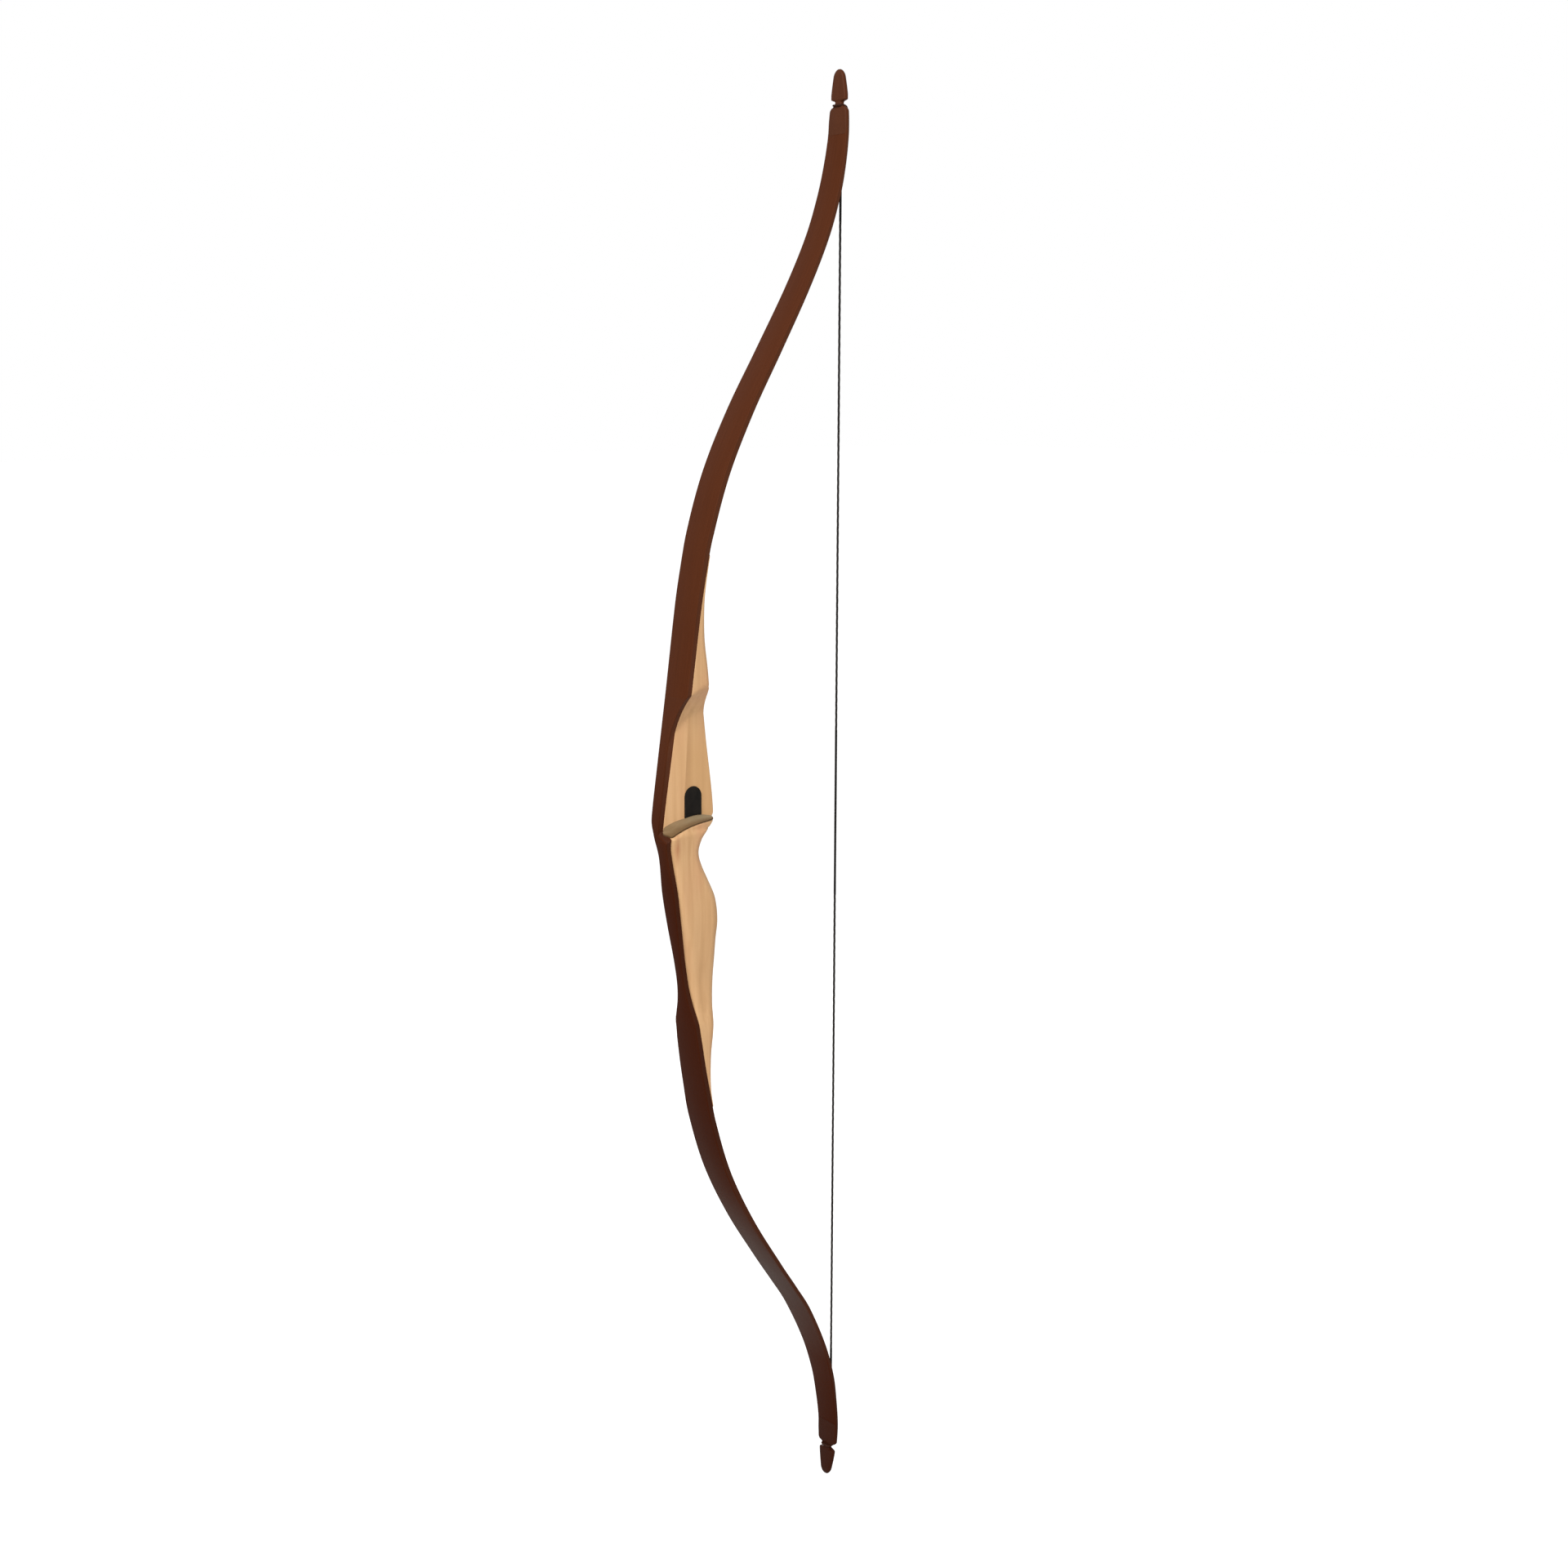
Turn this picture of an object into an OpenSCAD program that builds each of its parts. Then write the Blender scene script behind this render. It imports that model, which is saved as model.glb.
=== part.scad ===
// One-piece laminated recurve bow, right handed, strung.
// The origin is the deepest point of the grip, where the web of the hand sits.
// +Z runs up the bow, +X points to the archer and -X to the target.
// The sight window is cut on the -Y side.

/* [Bow] */
// From the grip to the braced string
brace = 187; // [180:1:196]
// From the middle of the bow to each string nock, upward
nock_height = 719.5; // [715:0.5:724]
// Height of the middle of the bow over the deepest point of the grip
mid_z = 17; // [12:1:22]
// Height of the inner bending line of a limb, from the middle
inner_flex = 345; // [320:1:360]
// Height of the outer bending line of a limb, from the middle
outer_flex = 480; // [460:1:500]

/* [Limb] */
// Half width of a limb where it leaves the riser
limb_half_w = 18; // [16:0.1:21]
// Thickness of the limb layers behind the riser
riser_t = 6.1; // [5:0.1:6.5]
// Thickness of a limb where it leaves the riser
limb_t = 6.6; // [6:0.1:8]
// Thickness of a limb at its tip, without the overlay
tip_t = 4.4; // [4:0.1:5]
// Thickness of each glass facing
glass_t = 1.1; // [0.8:0.1:1.3]
// Thickness of the overlay on the back of each tip
overlay_t = 1.1; // [0.8:0.1:1.5]

/* [Sight window] */
// How far short of the middle the window wall stops
wall_short = 0.5; // [0:0.1:2]
// Rounding of the window's edge on the archer's side
edge_r = 3; // [1:0.5:4]
// Height of the crown of the arrow shelf, from the middle
shelf_z = 20.9; // [19:0.1:24]
// Radius of the crowned shelf, front to back
shelf_r = 80; // [60:1:110]
// Fall of the shelf towards the open side, in degrees
shelf_fall = 25; // [15:1:30]
// Radius of the run-out at the top of the window
runout_r = 75; // [65:1:85]
// Width of the side plate
plate_w = 20.8; // [18:0.1:24]
// Height of the side plate to the top of its arch
plate_h = 29; // [24:0.1:34]
// Thickness of the side plate
plate_t = 1.2; // [0.8:0.1:2]
// Thickness of the shelf pad
pad_t = 1.6; // [1:0.1:2.5]

/* [String] */
// Diameter of the bowstring
string_d = 2.0; // [1.8:0.1:2.2]
// Diameter of the string where it is served with thread
serving_d = 2.5; // [2.4:0.1:3.2]
// Length served on each side of the middle of the string
serving_half = 88; // [70:1:110]
// Length of each half of the lap at the middle of the string
lap = 46; // [40:1:60]
// Gap between the two halves of the lap
lap_gap = 0.3; // [0.2:0.05:0.6]

/* [Hidden] */

// Side view of the back of the bow, from the lower tip to the upper one:
// height from the middle, distance in front of the string
back_line = [
    [-760, 8.4], [-715, 5.6], [-690, 5.6], [-660, 9.0], [-630, 14.4], [-590, 27.6], [-540, 52.7],
    [-510, 72.7], [-480, 93.85], [-420, 131.5], [-360, 162.1], [-300, 182.2], [-262, 190.1], [-231, 195.5],
    [-150, 206.9], [-80, 218.3], [-22, 226.8], [0, 230.4], [22, 228.5], [80, 219.9], [150, 209.4],
    [231, 197.6], [262, 191.9], [300, 183.2], [360, 162.2], [420, 131.6], [480, 94.7], [540, 58.7],
    [590, 33.1], [630, 18.8], [660, 11.4], [690, 6.6], [715, 5.6], [760, 6.0]];

// Side view of the archer's side of the riser, upwards from its lower end
belly_line = [
    [-283, 178.6], [-266, 180.6], [-230, 178.2], [-194, 172.5], [-150, 169], [-107, 165.7],
    [-88, 163.5], [-64, 166.5], [-46, 174.7], [-30, 183.3], [-17, 187], [-4, 184], [5, 179],
    [13, 171], [18.5, 165.2], [22, 163.4], [46, 165.4], [95, 172], [125, 175.4], [151, 178.6], [170, 180.6],
    [200, 184.4], [236, 185.8], [262, 182.4], [283, 178.8]];

// Share of the full half width on the brown back, and on the wood behind it
back_width = [
    [-283, 1.075], [-262, 1.045], [-234, 1.005], [-212, 0.975], [-202, 0.93], [-192, 0.9],
    [-182, 0.72], [-170, 0.5], [-152, 0.33], [-125, 0.33], [-90, 0.46], [-55, 0.54], [-25, 0.42],
    [-10, 0.43], [4, 0.65], [16, 0.92], [26, 0.97], [150, 0.985], [230, 1.0], [283, 1.0]];
wood_width = [
    [-208, 1.0], [-194, 0.95], [-177, 0.74], [-150, 0.62], [-125, 0.7], [-85, 0.79], [-50, 0.73],
    [-20, 0.66], [-6, 0.69], [6, 0.75], [17, 0.8], [28, 0.94], [40, 1.0]];

// Rounding of the archer's side of the riser
belly_round = [
    [-283, 0.4], [-248, 4], [-212, 8], [-177, 10], [-150, 10], [-85, 12.5], [-20, 11], [6, 11],
    [24, 9], [60, 7], [200, 7], [231, 4.5], [262, 1.2], [283, 0.4]];

// Share of the full half width of each limb beyond the riser, outwards
upper_width = [
    [283, 1.0], [310, 1.025], [345, 1.035], [400, 1.03], [480, 0.985], [545, 0.93], [600, 0.89],
    [641, 0.86], [673, 0.805], [705, 0.725], [714, 0.69]];
lower_width = [
    [283, 1.075], [310, 1.085], [386, 1.105], [430, 1.115], [518, 1.1], [563, 1.035], [600, 0.975],
    [629, 0.93], [660, 0.865], [690, 0.81], [714, 0.76]];

// Outer edge of the shelf pad: distance behind the string line, distance from the middle
pad_edge = [
    [-35.5, -9.3], [-30, -11.1], [-20, -12.3], [-7, -12], [2, -10.9], [12, -8.6], [17, -5.6],
    [22, -1.4]];

// Smooth curve through a list of [place, value] points
function seg(t, z, i = 0) = i >= len(t) - 2 || z < t[i + 1][0] ? i : seg(t, z, i + 1);
function rise(t, i) = let (a = max(0, i - 1), b = min(len(t) - 1, i + 1))
    (t[b][1] - t[a][1]) / (t[b][0] - t[a][0]);
function smooth(t, z) =
    z <= t[0][0] ? t[0][1] : z >= t[len(t) - 1][0] ? t[len(t) - 1][1] :
    let (i = seg(t, z), h = t[i + 1][0] - t[i][0], u = (z - t[i][0]) / h)
    (2 * u ^ 3 - 3 * u ^ 2 + 1) * t[i][1] + (u ^ 3 - 2 * u ^ 2 + u) * h * rise(t, i)
    + (3 * u ^ 2 - 2 * u ^ 3) * t[i + 1][1] + (u ^ 3 - u ^ 2) * h * rise(t, i + 1);

// The limb stack: a is the height from the middle, o the depth behind the back
function back_x(a) = brace - smooth(back_line, a);
function lean(a) = back_x(a + 0.5) - back_x(a - 0.5);
function stack_t(a) = limb_t + (tip_t - limb_t) * max(0, min(1, (abs(a) - 300) / 390))
    + (riser_t - limb_t) * max(0, min(1, (280 - abs(a)) / 60));
function deep_x(a, o) = back_x(a) + o * sqrt(1 + lean(a) ^ 2);

// Half width of the stack, with the nock and the round tip
neck_top = nock_height + 4;
neck_low = nock_height - 5;
tip_end = nock_height + 32.5;
neck_w = 5.4;
function stack_w(a) = limb_half_w * (abs(a) <= 283 ? smooth(back_width, a)
    : smooth(a > 0 ? upper_width : lower_width, abs(a)));

// Heights of the cross-sections
riser_zs = concat(
    [for (i = [0:5]) -283 + 13 * i], [for (i = [0:39]) -208 + 6 * i],
    [for (i = [0:9]) 37 + 12 * i], [for (i = [0:6]) 158 + 17 * i], [271, 283]);
root_zs = concat([-inner_flex, -324, -303], riser_zs, [303, 324, inner_flex]);
mid_zs = [for (i = [0:9]) inner_flex + (outer_flex - inner_flex) * i / 9];
tip_zs = concat([for (i = [0:18]) outer_flex + (neck_low - 0.8 - outer_flex) * i / 18], [neck_low - 0.3]);

// A closed skin over rings of equally many points
module loft(rings) {
    n = len(rings[0]);
    m = len(rings);
    pts = [for (r = rings) for (p = r) p];
    sides = [for (k = [0:m - 2]) for (j = [0:n - 1]) let (
            a = k * n + j, b = k * n + (j + 1) % n, c = a + n, d = b + n)
        each [[a, b, c], [b, d, c]]];
    polyhedron(pts, concat([[for (j = [n - 1:-1:0]) j]], sides,
        [[for (j = [0:n - 1]) (m - 1) * n + j]]), convexity = 8);
}

// One layer of the stack between two depths, given as shares or distances
function layer_ring(a, lo, hi, w) = [
    [deep_x(a, lo), -w, a], [deep_x(a, lo), w, a], [deep_x(a, hi), w, a], [deep_x(a, hi), -w, a]];
function layer_lo(which, a) = which == 0 ? 0 : which == 1 ? glass_t : stack_t(a) - glass_t;
function layer_hi(which, a) = which == 0 ? glass_t : which == 1 ? stack_t(a) - glass_t : stack_t(a);
function layer(which, a, w) = layer_ring(a, layer_lo(which, a), layer_hi(which, a), w);

module layer_run(which, zs) {
    loft([for (a = zs) layer(which, a, stack_w(a))]);
}

// Outlines of a limb as [height, half width], upwards as they stand in the bow
function run(side, zs) = side == "upper" ? [for (a = zs) [a, stack_w(a)]]
    : [for (i = [len(zs) - 1:-1:0]) [-zs[i], stack_w(-zs[i])]];
nock_outline = [
    [neck_low + 0.6, 9.6], [neck_low + 1.8, 7.4], [neck_low + 3, 6.1], [neck_low + 4.2, neck_w],
    [neck_top - 1.2, neck_w], [neck_top - 0.5, neck_w + 1.2], [neck_top, 9.4], [neck_top + 0.7, 10.8],
    [neck_top + 5, 10.7], [neck_top + 9, 10.1], [neck_top + 16.5, 8.6], [neck_top + 23, 6.9],
    [tip_end - 2, 4.8], [tip_end - 0.7, 3.1], [tip_end, 1.5]];
function end_run(side, zs) = side == "upper" ? concat(run(side, zs), nock_outline)
    : concat([for (i = [len(nock_outline) - 1:-1:0]) [-nock_outline[i][0], nock_outline[i][1]]],
        run(side, zs));
module limb_layer(which, outline) {
    translate([0, 0, mid_z]) loft([for (p = outline) layer(which, p[0], p[1])]);
}

// A string part as drawn for the upper limb, or its mirror image below the middle
module limb(side) {
    translate([0, 0, mid_z]) mirror([0, 0, side == "upper" ? 0 : 1]) children();
}

back_brown = "#4a2413";
core_brown = "#5b321d";
wood_pale = "#cfa878";

// ---- riser ----

// Cross-section of the riser wood at one height, front to archer's side
function belly_x(z) = max(brace - smooth(belly_line, z), deep_x(z, stack_t(z)) + 0.3);
function wood_ring(z) = let (
        f = deep_x(z, stack_t(z)), b = belly_x(z), d = b - f,
        wb = stack_w(z), ww = max(wb + 0.08, limb_half_w * smooth(wood_width, z)),
        rf = min(d * 0.3, (ww - wb) * 1.5 + 0.05),
        r = min(smooth(belly_round, z), ww - 1), rx = min(r, d * 0.62),
        half = concat(
            [for (t = [0:30:90]) [f + rf * (1 - cos(t)), wb + (ww - wb) * sin(t)]],
            [for (t = [0:18:90]) [b - rx * (1 - sin(t)), ww - r * (1 - cos(t))]]))
    concat([for (p = half) [p[0], p[1], z]],
        [for (i = [len(half) - 1:-1:0]) [half[i][0], -half[i][1], z]]);

// The sight window: a wall short of the middle, which turns into a bevel in
// front of a crease, and a round run-out above that rises to the archer's side
bevel = 12;
runout_z = 91.5;
runout_y = 4;
function crease_x(z) = brace - 202.8 + 0.063 * z;
function open_side(short, z, back) = let (c = crease_x(z)) concat(
    [[c - 70, -60, z], [c - 70, -short + 70 * tan(bevel), z], [c, -short, z]], back,
    [[c + 110, back[len(back) - 1][1], z], [c + 110, -60, z]]);
function rounded_edge(z) = let (e = belly_x(z) - edge_r * 0.93)
    [for (t = [0:13:78]) [e + edge_r * sin(t), edge_r * (1 - cos(t)) - wall_short, z]];
window_zs = concat([-60], [for (z = riser_zs) if (z > -20 && z < 190) z], [200]);
runout = concat(
    [[-60, runout_z + runout_r * 0.8 + 0.5]],
    [for (t = [52:-4:0]) [runout_y - runout_r * (1 - cos(t)), runout_z + runout_r * sin(t)]],
    [[runout_y, -40], [-60, -40]]);
module window_cut() {
    intersection() {
        loft([for (z = window_zs) open_side(wall_short, z, rounded_edge(z))]);
        loft([for (x = [-160, 140]) [for (p = runout) [x, p[0], p[1] + 0.32 * (x + 18)]]]);
        difference() {
            translate([-150, -70, -30]) cube([300, 110, 200]);
            shelf_drum(shelf_r - pad_t);
        }
    }
}
// The shelf is crowned like the rim of a large drum that leans to the open side
module shelf_drum(r) {
    translate([brace - 186, -wall_short, shelf_z]) rotate([90 + shelf_fall, 0, 0])
        translate([0, -shelf_r, -40]) linear_extrude(110) polygon(concat(
            [[-r * sin(66), -20], [r * sin(66), -20]],
            [for (t = [66:-3:-66]) [r * sin(t), r * cos(t)]]));
}

module riser_block() {
    color(wood_pale) translate([0, 0, mid_z]) difference() {
        loft([for (z = riser_zs) wood_ring(z)]);
        window_cut();
    }
}
module riser_layer(which, tone) {
    color(tone) translate([0, 0, mid_z]) difference() {
        layer_run(which, root_zs);
        window_cut();
    }
}
module riser_back_glass() { riser_layer(0, back_brown); }
module riser_limb_core() { riser_layer(1, core_brown); }
module riser_belly_glass() { riser_layer(2, back_brown); }

module side_plate() {
    color("#1e1a17") translate([brace - 200.6 + plate_w / 2, -wall_short, mid_z + shelf_z + 0.3])
        rotate([90, 0, 0]) linear_extrude(plate_t) union() {
            translate([-plate_w / 2, 0]) square([plate_w, plate_h - plate_w / 2]);
            translate([0, plate_h - plate_w / 2]) circle(d = plate_w, $fn = 72);
        }
}

module shelf_pad() {
    color("#8f7350") translate([0, 0, mid_z]) intersection() {
        loft([for (z = [-4:6:26]) wood_ring(z)]);
        difference() {
            shelf_drum(shelf_r);
            shelf_drum(shelf_r - pad_t);
        }
        loft([for (z = [-20, 40]) open_side(wall_short + 0.1, z, [[10, -wall_short - 0.1, z]])]);
        translate([0, 0, -20]) linear_extrude(60) polygon(concat(
            [[-35.5, 20]], pad_edge, [[25, 1], [25, 20]]));
    }
}

// ---- limbs ----

module mid_layer(which, side, tone) { color(tone) limb_layer(which, run(side, mid_zs)); }
module end_layer(which, side, tone) { color(tone) limb_layer(which, end_run(side, tip_zs)); }

// The overlay stiffens the back of the tip and runs out to nothing down the limb
module tip_overlay(side) {
    outline = end_run(side, [tip_zs[16], tip_zs[17], tip_zs[18], tip_zs[19]]);
    color(core_brown) translate([0, 0, mid_z]) loft([for (p = outline)
        let (t = overlay_t * (abs(p[0]) < tip_zs[17] - 1 ? 0.2 : 1))
        layer_ring(p[0], -t, 0, p[1])]);
}

// ---- string ----

function unit(v) = v / norm(v);
function turned(n, t) = unit(n - (n * t) * t);
function tangent(p, i) = unit(p[min(i + 1, len(p) - 1)] - p[max(i - 1, 0)]);
function carried(p, i, n0) = i == 0 ? turned(n0, tangent(p, 0))
    : turned(carried(p, i - 1, n0), tangent(p, i));
function between(p0, p1, p2, p3, u) =
    0.5 * (2 * p1 + (p2 - p0) * u + (2 * p0 - 5 * p1 + 4 * p2 - p3) * u ^ 2
    + (3 * p1 - p0 - 3 * p2 + p3) * u ^ 3);
function curve(p, n) = concat([for (i = [0:len(p) - 2]) for (k = [0:n - 1])
    between(p[max(0, i - 1)], p[i], p[i + 1], p[min(len(p) - 1, i + 2)], k / n)],
    [p[len(p) - 1]]);

// A cord of one thickness along a list of points
module tube(path, r, sides) {
    loft([for (i = [0:len(path) - 1]) let (
            t = tangent(path, i), n = carried(path, i, [1, 0.1, 0]), b = cross(t, n))
        [for (j = [0:sides - 1]) let (g = -360 * j / sides) path[i] + r * (cos(g) * n + sin(g) * b)]]);
}

// Half of the loop: from the splice, beside the belly, through the nock and
// over the back of the neck. x is from the string, z from the nock.
splice_z = -54;
half_loop = [
    [0, 1.15, splice_z], [0, 1.9, splice_z + 10], [0.2, 3.8, splice_z + 24], [0.5, 6.2, splice_z + 38],
    [0.5, 7.8, -7], [-0.2, 8.2, -1.4], [-2.2, 8.3, 0.6], [-4.6, 8.2, 1.4], [-6.8, 7.9, 1.8],
    [-8.2, 7, 2], [-8.6, 4.8, 2], [-8.6, 0, 2]];
loop_r = 1.05;

module loop(side) {
    whole = concat(half_loop, [for (i = [len(half_loop) - 2:-1:0])
        [half_loop[i][0], -half_loop[i][1], half_loop[i][2]]]);
    color("#262321") limb(side) translate([brace, 0, nock_height]) tube(curve(whole, 3), loop_r, 8);
}

// Each half of the string runs from its splice to the middle. Over the lap it
// keeps only its own side, so that the two halves can pass while the bow is drawn.
module half_space(side) {
    s = side == "upper" ? 1 : -1;
    translate([brace - 5, s > 0 ? lap_gap / 2 : -10 - lap_gap / 2, -1]) cube([10, 10, lap + 1]);
}
module string_run(side, d_in, d_out, z0, z1) {
    limb(side) intersection() {
        translate([brace, 0, z0]) difference() {
            cylinder(d = d_out, h = z1 - z0, $fn = 48);
            if (d_in > 0) translate([0, 0, -1]) cylinder(d = d_in, h = z1 - z0 + 2, $fn = 48);
        }
        union() {
            half_space(side);
            translate([brace - 5, -5, lap]) cube([10, 10, nock_height]);
        }
    }
}
module half_string(side) {
    color("#2b2724") string_run(side, 0, string_d, 0.15, nock_height + splice_z);
}
module centre_serving(side) {
    color("#1f1c1a") string_run(side, string_d, serving_d, 0.15, serving_half);
}
// Serving over the splice below each loop
module end_serving(side) {
    color("#1f1c1a") limb(side) translate([brace, 0, nock_height + splice_z - 60]) difference() {
        cylinder(d = serving_d, h = 60, $fn = 48);
        translate([0, 0, -1]) cylinder(d = string_d, h = 62, $fn = 48);
    }
}

module upper_mid_back_glass() { mid_layer(0, "upper", back_brown); }
module upper_mid_core() { mid_layer(1, "upper", core_brown); }
module upper_mid_belly_glass() { mid_layer(2, "upper", back_brown); }
module upper_tip_back_glass() { end_layer(0, "upper", back_brown); }
module upper_tip_core() { end_layer(1, "upper", core_brown); }
module upper_tip_belly_glass() { end_layer(2, "upper", back_brown); }
module upper_tip_overlay() { tip_overlay("upper"); }
module upper_string() { half_string("upper"); }
module upper_loop() { loop("upper"); }
module upper_end_serving() { end_serving("upper"); }
module upper_centre_serving() { centre_serving("upper"); }
module lower_mid_back_glass() { mid_layer(0, "lower", back_brown); }
module lower_mid_core() { mid_layer(1, "lower", core_brown); }
module lower_mid_belly_glass() { mid_layer(2, "lower", back_brown); }
module lower_tip_back_glass() { end_layer(0, "lower", back_brown); }
module lower_tip_core() { end_layer(1, "lower", core_brown); }
module lower_tip_belly_glass() { end_layer(2, "lower", back_brown); }
module lower_tip_overlay() { tip_overlay("lower"); }
module lower_string() { half_string("lower"); }
module lower_loop() { loop("lower"); }
module lower_end_serving() { end_serving("lower"); }
module lower_centre_serving() { centre_serving("lower"); }

riser_block();
riser_back_glass();
riser_limb_core();
riser_belly_glass();
side_plate();
shelf_pad();
upper_mid_back_glass();
upper_mid_core();
upper_mid_belly_glass();
upper_tip_back_glass();
upper_tip_core();
upper_tip_belly_glass();
upper_tip_overlay();
upper_string();
upper_loop();
upper_end_serving();
upper_centre_serving();
lower_mid_back_glass();
lower_mid_core();
lower_mid_belly_glass();
lower_tip_back_glass();
lower_tip_core();
lower_tip_belly_glass();
lower_tip_overlay();
lower_string();
lower_loop();
lower_end_serving();
lower_centre_serving();
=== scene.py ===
# %% [markdown]
# # A strung recurve bow
#
# A recurve bow is a sandwich. Two thin brown facings and a core between them run from tip to tip,
# a pale wood riser is glued on behind them in the middle, and a bowstring holds the whole thing bent.
# This lesson dresses that bow around a packed model, the frame, that already knows where each part
# sits and how it moves. The frame is loaded first, and its box is kept, to be compared at the end
# with the box of what is modelled here.

# %% Load the frame
import math

import bmesh
import bpy
import numpy as np
from mathutils import Matrix, Vector


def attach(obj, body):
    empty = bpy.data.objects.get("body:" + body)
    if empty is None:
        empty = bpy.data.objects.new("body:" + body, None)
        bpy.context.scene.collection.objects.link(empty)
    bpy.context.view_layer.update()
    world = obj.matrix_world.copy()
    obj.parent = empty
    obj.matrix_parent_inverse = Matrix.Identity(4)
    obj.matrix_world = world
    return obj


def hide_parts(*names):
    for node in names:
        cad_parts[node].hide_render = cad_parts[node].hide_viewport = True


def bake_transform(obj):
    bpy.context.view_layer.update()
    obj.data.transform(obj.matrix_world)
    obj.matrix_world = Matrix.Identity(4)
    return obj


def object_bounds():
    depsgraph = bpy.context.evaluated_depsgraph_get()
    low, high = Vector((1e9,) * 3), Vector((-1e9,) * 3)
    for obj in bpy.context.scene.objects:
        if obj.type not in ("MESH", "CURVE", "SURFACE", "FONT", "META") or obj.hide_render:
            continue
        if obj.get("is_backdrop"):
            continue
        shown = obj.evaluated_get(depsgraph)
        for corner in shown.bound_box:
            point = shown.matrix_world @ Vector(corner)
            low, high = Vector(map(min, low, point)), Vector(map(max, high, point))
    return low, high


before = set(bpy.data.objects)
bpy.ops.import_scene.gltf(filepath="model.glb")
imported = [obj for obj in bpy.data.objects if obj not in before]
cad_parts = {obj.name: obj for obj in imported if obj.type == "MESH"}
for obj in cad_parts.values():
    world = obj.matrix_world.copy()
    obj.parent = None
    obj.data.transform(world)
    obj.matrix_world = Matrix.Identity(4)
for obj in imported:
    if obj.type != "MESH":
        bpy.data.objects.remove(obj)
cad_low, cad_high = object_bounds()
print("frame box, mm:", [round(1000 * (b - a)) for a, b in zip(cad_low, cad_high)])

# %% [markdown]
# ## The camera
#
# The bow is seen from in front and from its window side, a little above the middle. The place and
# the turn of the camera are real measures: where it stands in metres, which way it heads, how far
# it tips down, and a lens length that goes with the picture's width.

# %% Camera
CAMERA_PLACE = Vector((-1.277, -1.660, 0.456))
HEADING, TIP_DOWN, ROLL = (math.radians(d) for d in (50.0, 10.46, 0.213))
PICTURE_PX = 1920
FOCAL_PX = 2614

forward = Vector((math.cos(HEADING) * math.cos(TIP_DOWN), math.sin(HEADING) * math.cos(TIP_DOWN),
                  -math.sin(TIP_DOWN)))
level_right = Vector((math.sin(HEADING), -math.cos(HEADING), 0))
level_up = level_right.cross(forward)
right = level_right * math.cos(ROLL) + level_up * math.sin(ROLL)
up = right.cross(forward)

camera_data = bpy.data.cameras.new("camera")
camera_data.sensor_width = 36
camera_data.lens = FOCAL_PX / PICTURE_PX * camera_data.sensor_width
camera = bpy.data.objects.new("camera", camera_data)
camera_turn = Matrix((right, up, -forward)).transposed().to_4x4()
camera.matrix_world = Matrix.Translation(CAMERA_PLACE) @ camera_turn
bpy.context.scene.collection.objects.link(camera)
bpy.context.scene.camera = camera
print("lens, mm:", round(camera_data.lens, 1))

# %% [markdown]
# ## Sums on shader sockets
#
# A finish is easier to read as a formula than as boxes and wires. `Signal` wraps one socket, and
# Python's own operators add the Math nodes. `add_node` makes every other node: its settings come
# first, because they can change which sockets it has, then the values or signals that feed it.

# %% A signal and its operators
def add_node(tree, kind, settings=None, inputs=None, output=0):
    """Adds a node with its settings and inputs, and returns one output as a Signal."""
    new = tree.nodes.new(kind)
    for name, value in (settings or {}).items():
        if name == "stops":
            ramp = new.color_ramp
            while len(ramp.elements) < len(value):
                ramp.elements.new(0.5)
            for element, (place, colour) in zip(ramp.elements, value):
                element.position = place
                element.color = (*colour, 1)
        else:
            setattr(new, name, value)
    for name, value in (inputs or {}).items():
        socket = new.inputs[name]
        if isinstance(value, Signal):
            tree.links.new(value.socket, socket)
        else:
            socket.default_value = value
    return Signal(tree, new.outputs[output]) if len(new.outputs) else new


class Signal:
    """One output socket, which joins in sums as a number does."""

    def __init__(self, tree, socket):
        self.tree = tree
        self.socket = socket

    def math(self, operation, first, second=0.0):
        return add_node(self.tree, "ShaderNodeMath", {"operation": operation}, {0: first, 1: second})

    def __add__(self, other):
        return self.math("ADD", self, other)

    __radd__ = __add__

    def __sub__(self, other):
        return self.math("SUBTRACT", self, other)

    def __rsub__(self, other):
        return self.math("SUBTRACT", other, self)

    def __mul__(self, other):
        return self.math("MULTIPLY", self, other)

    __rmul__ = __mul__

    def sine(self):
        return self.math("SINE", self)

    def clamped(self):
        return add_node(self.tree, "ShaderNodeClamp", None, {"Value": self})


print("operators ready:", [name for name in vars(Signal) if name.startswith("__r")])

# %% [markdown]
# ## Materials that know their place
#
# The finish of a bow follows its length: grain, fibres and brush marks all run up and down. Each
# mesh made here stores, in an attribute called `place`, where every point sits along, across and
# through the bow. A limb then keeps its grain when it bends. `Finish` opens a material, reads that
# place, and offers the few patterns that the finishes below are mixed from.

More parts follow.
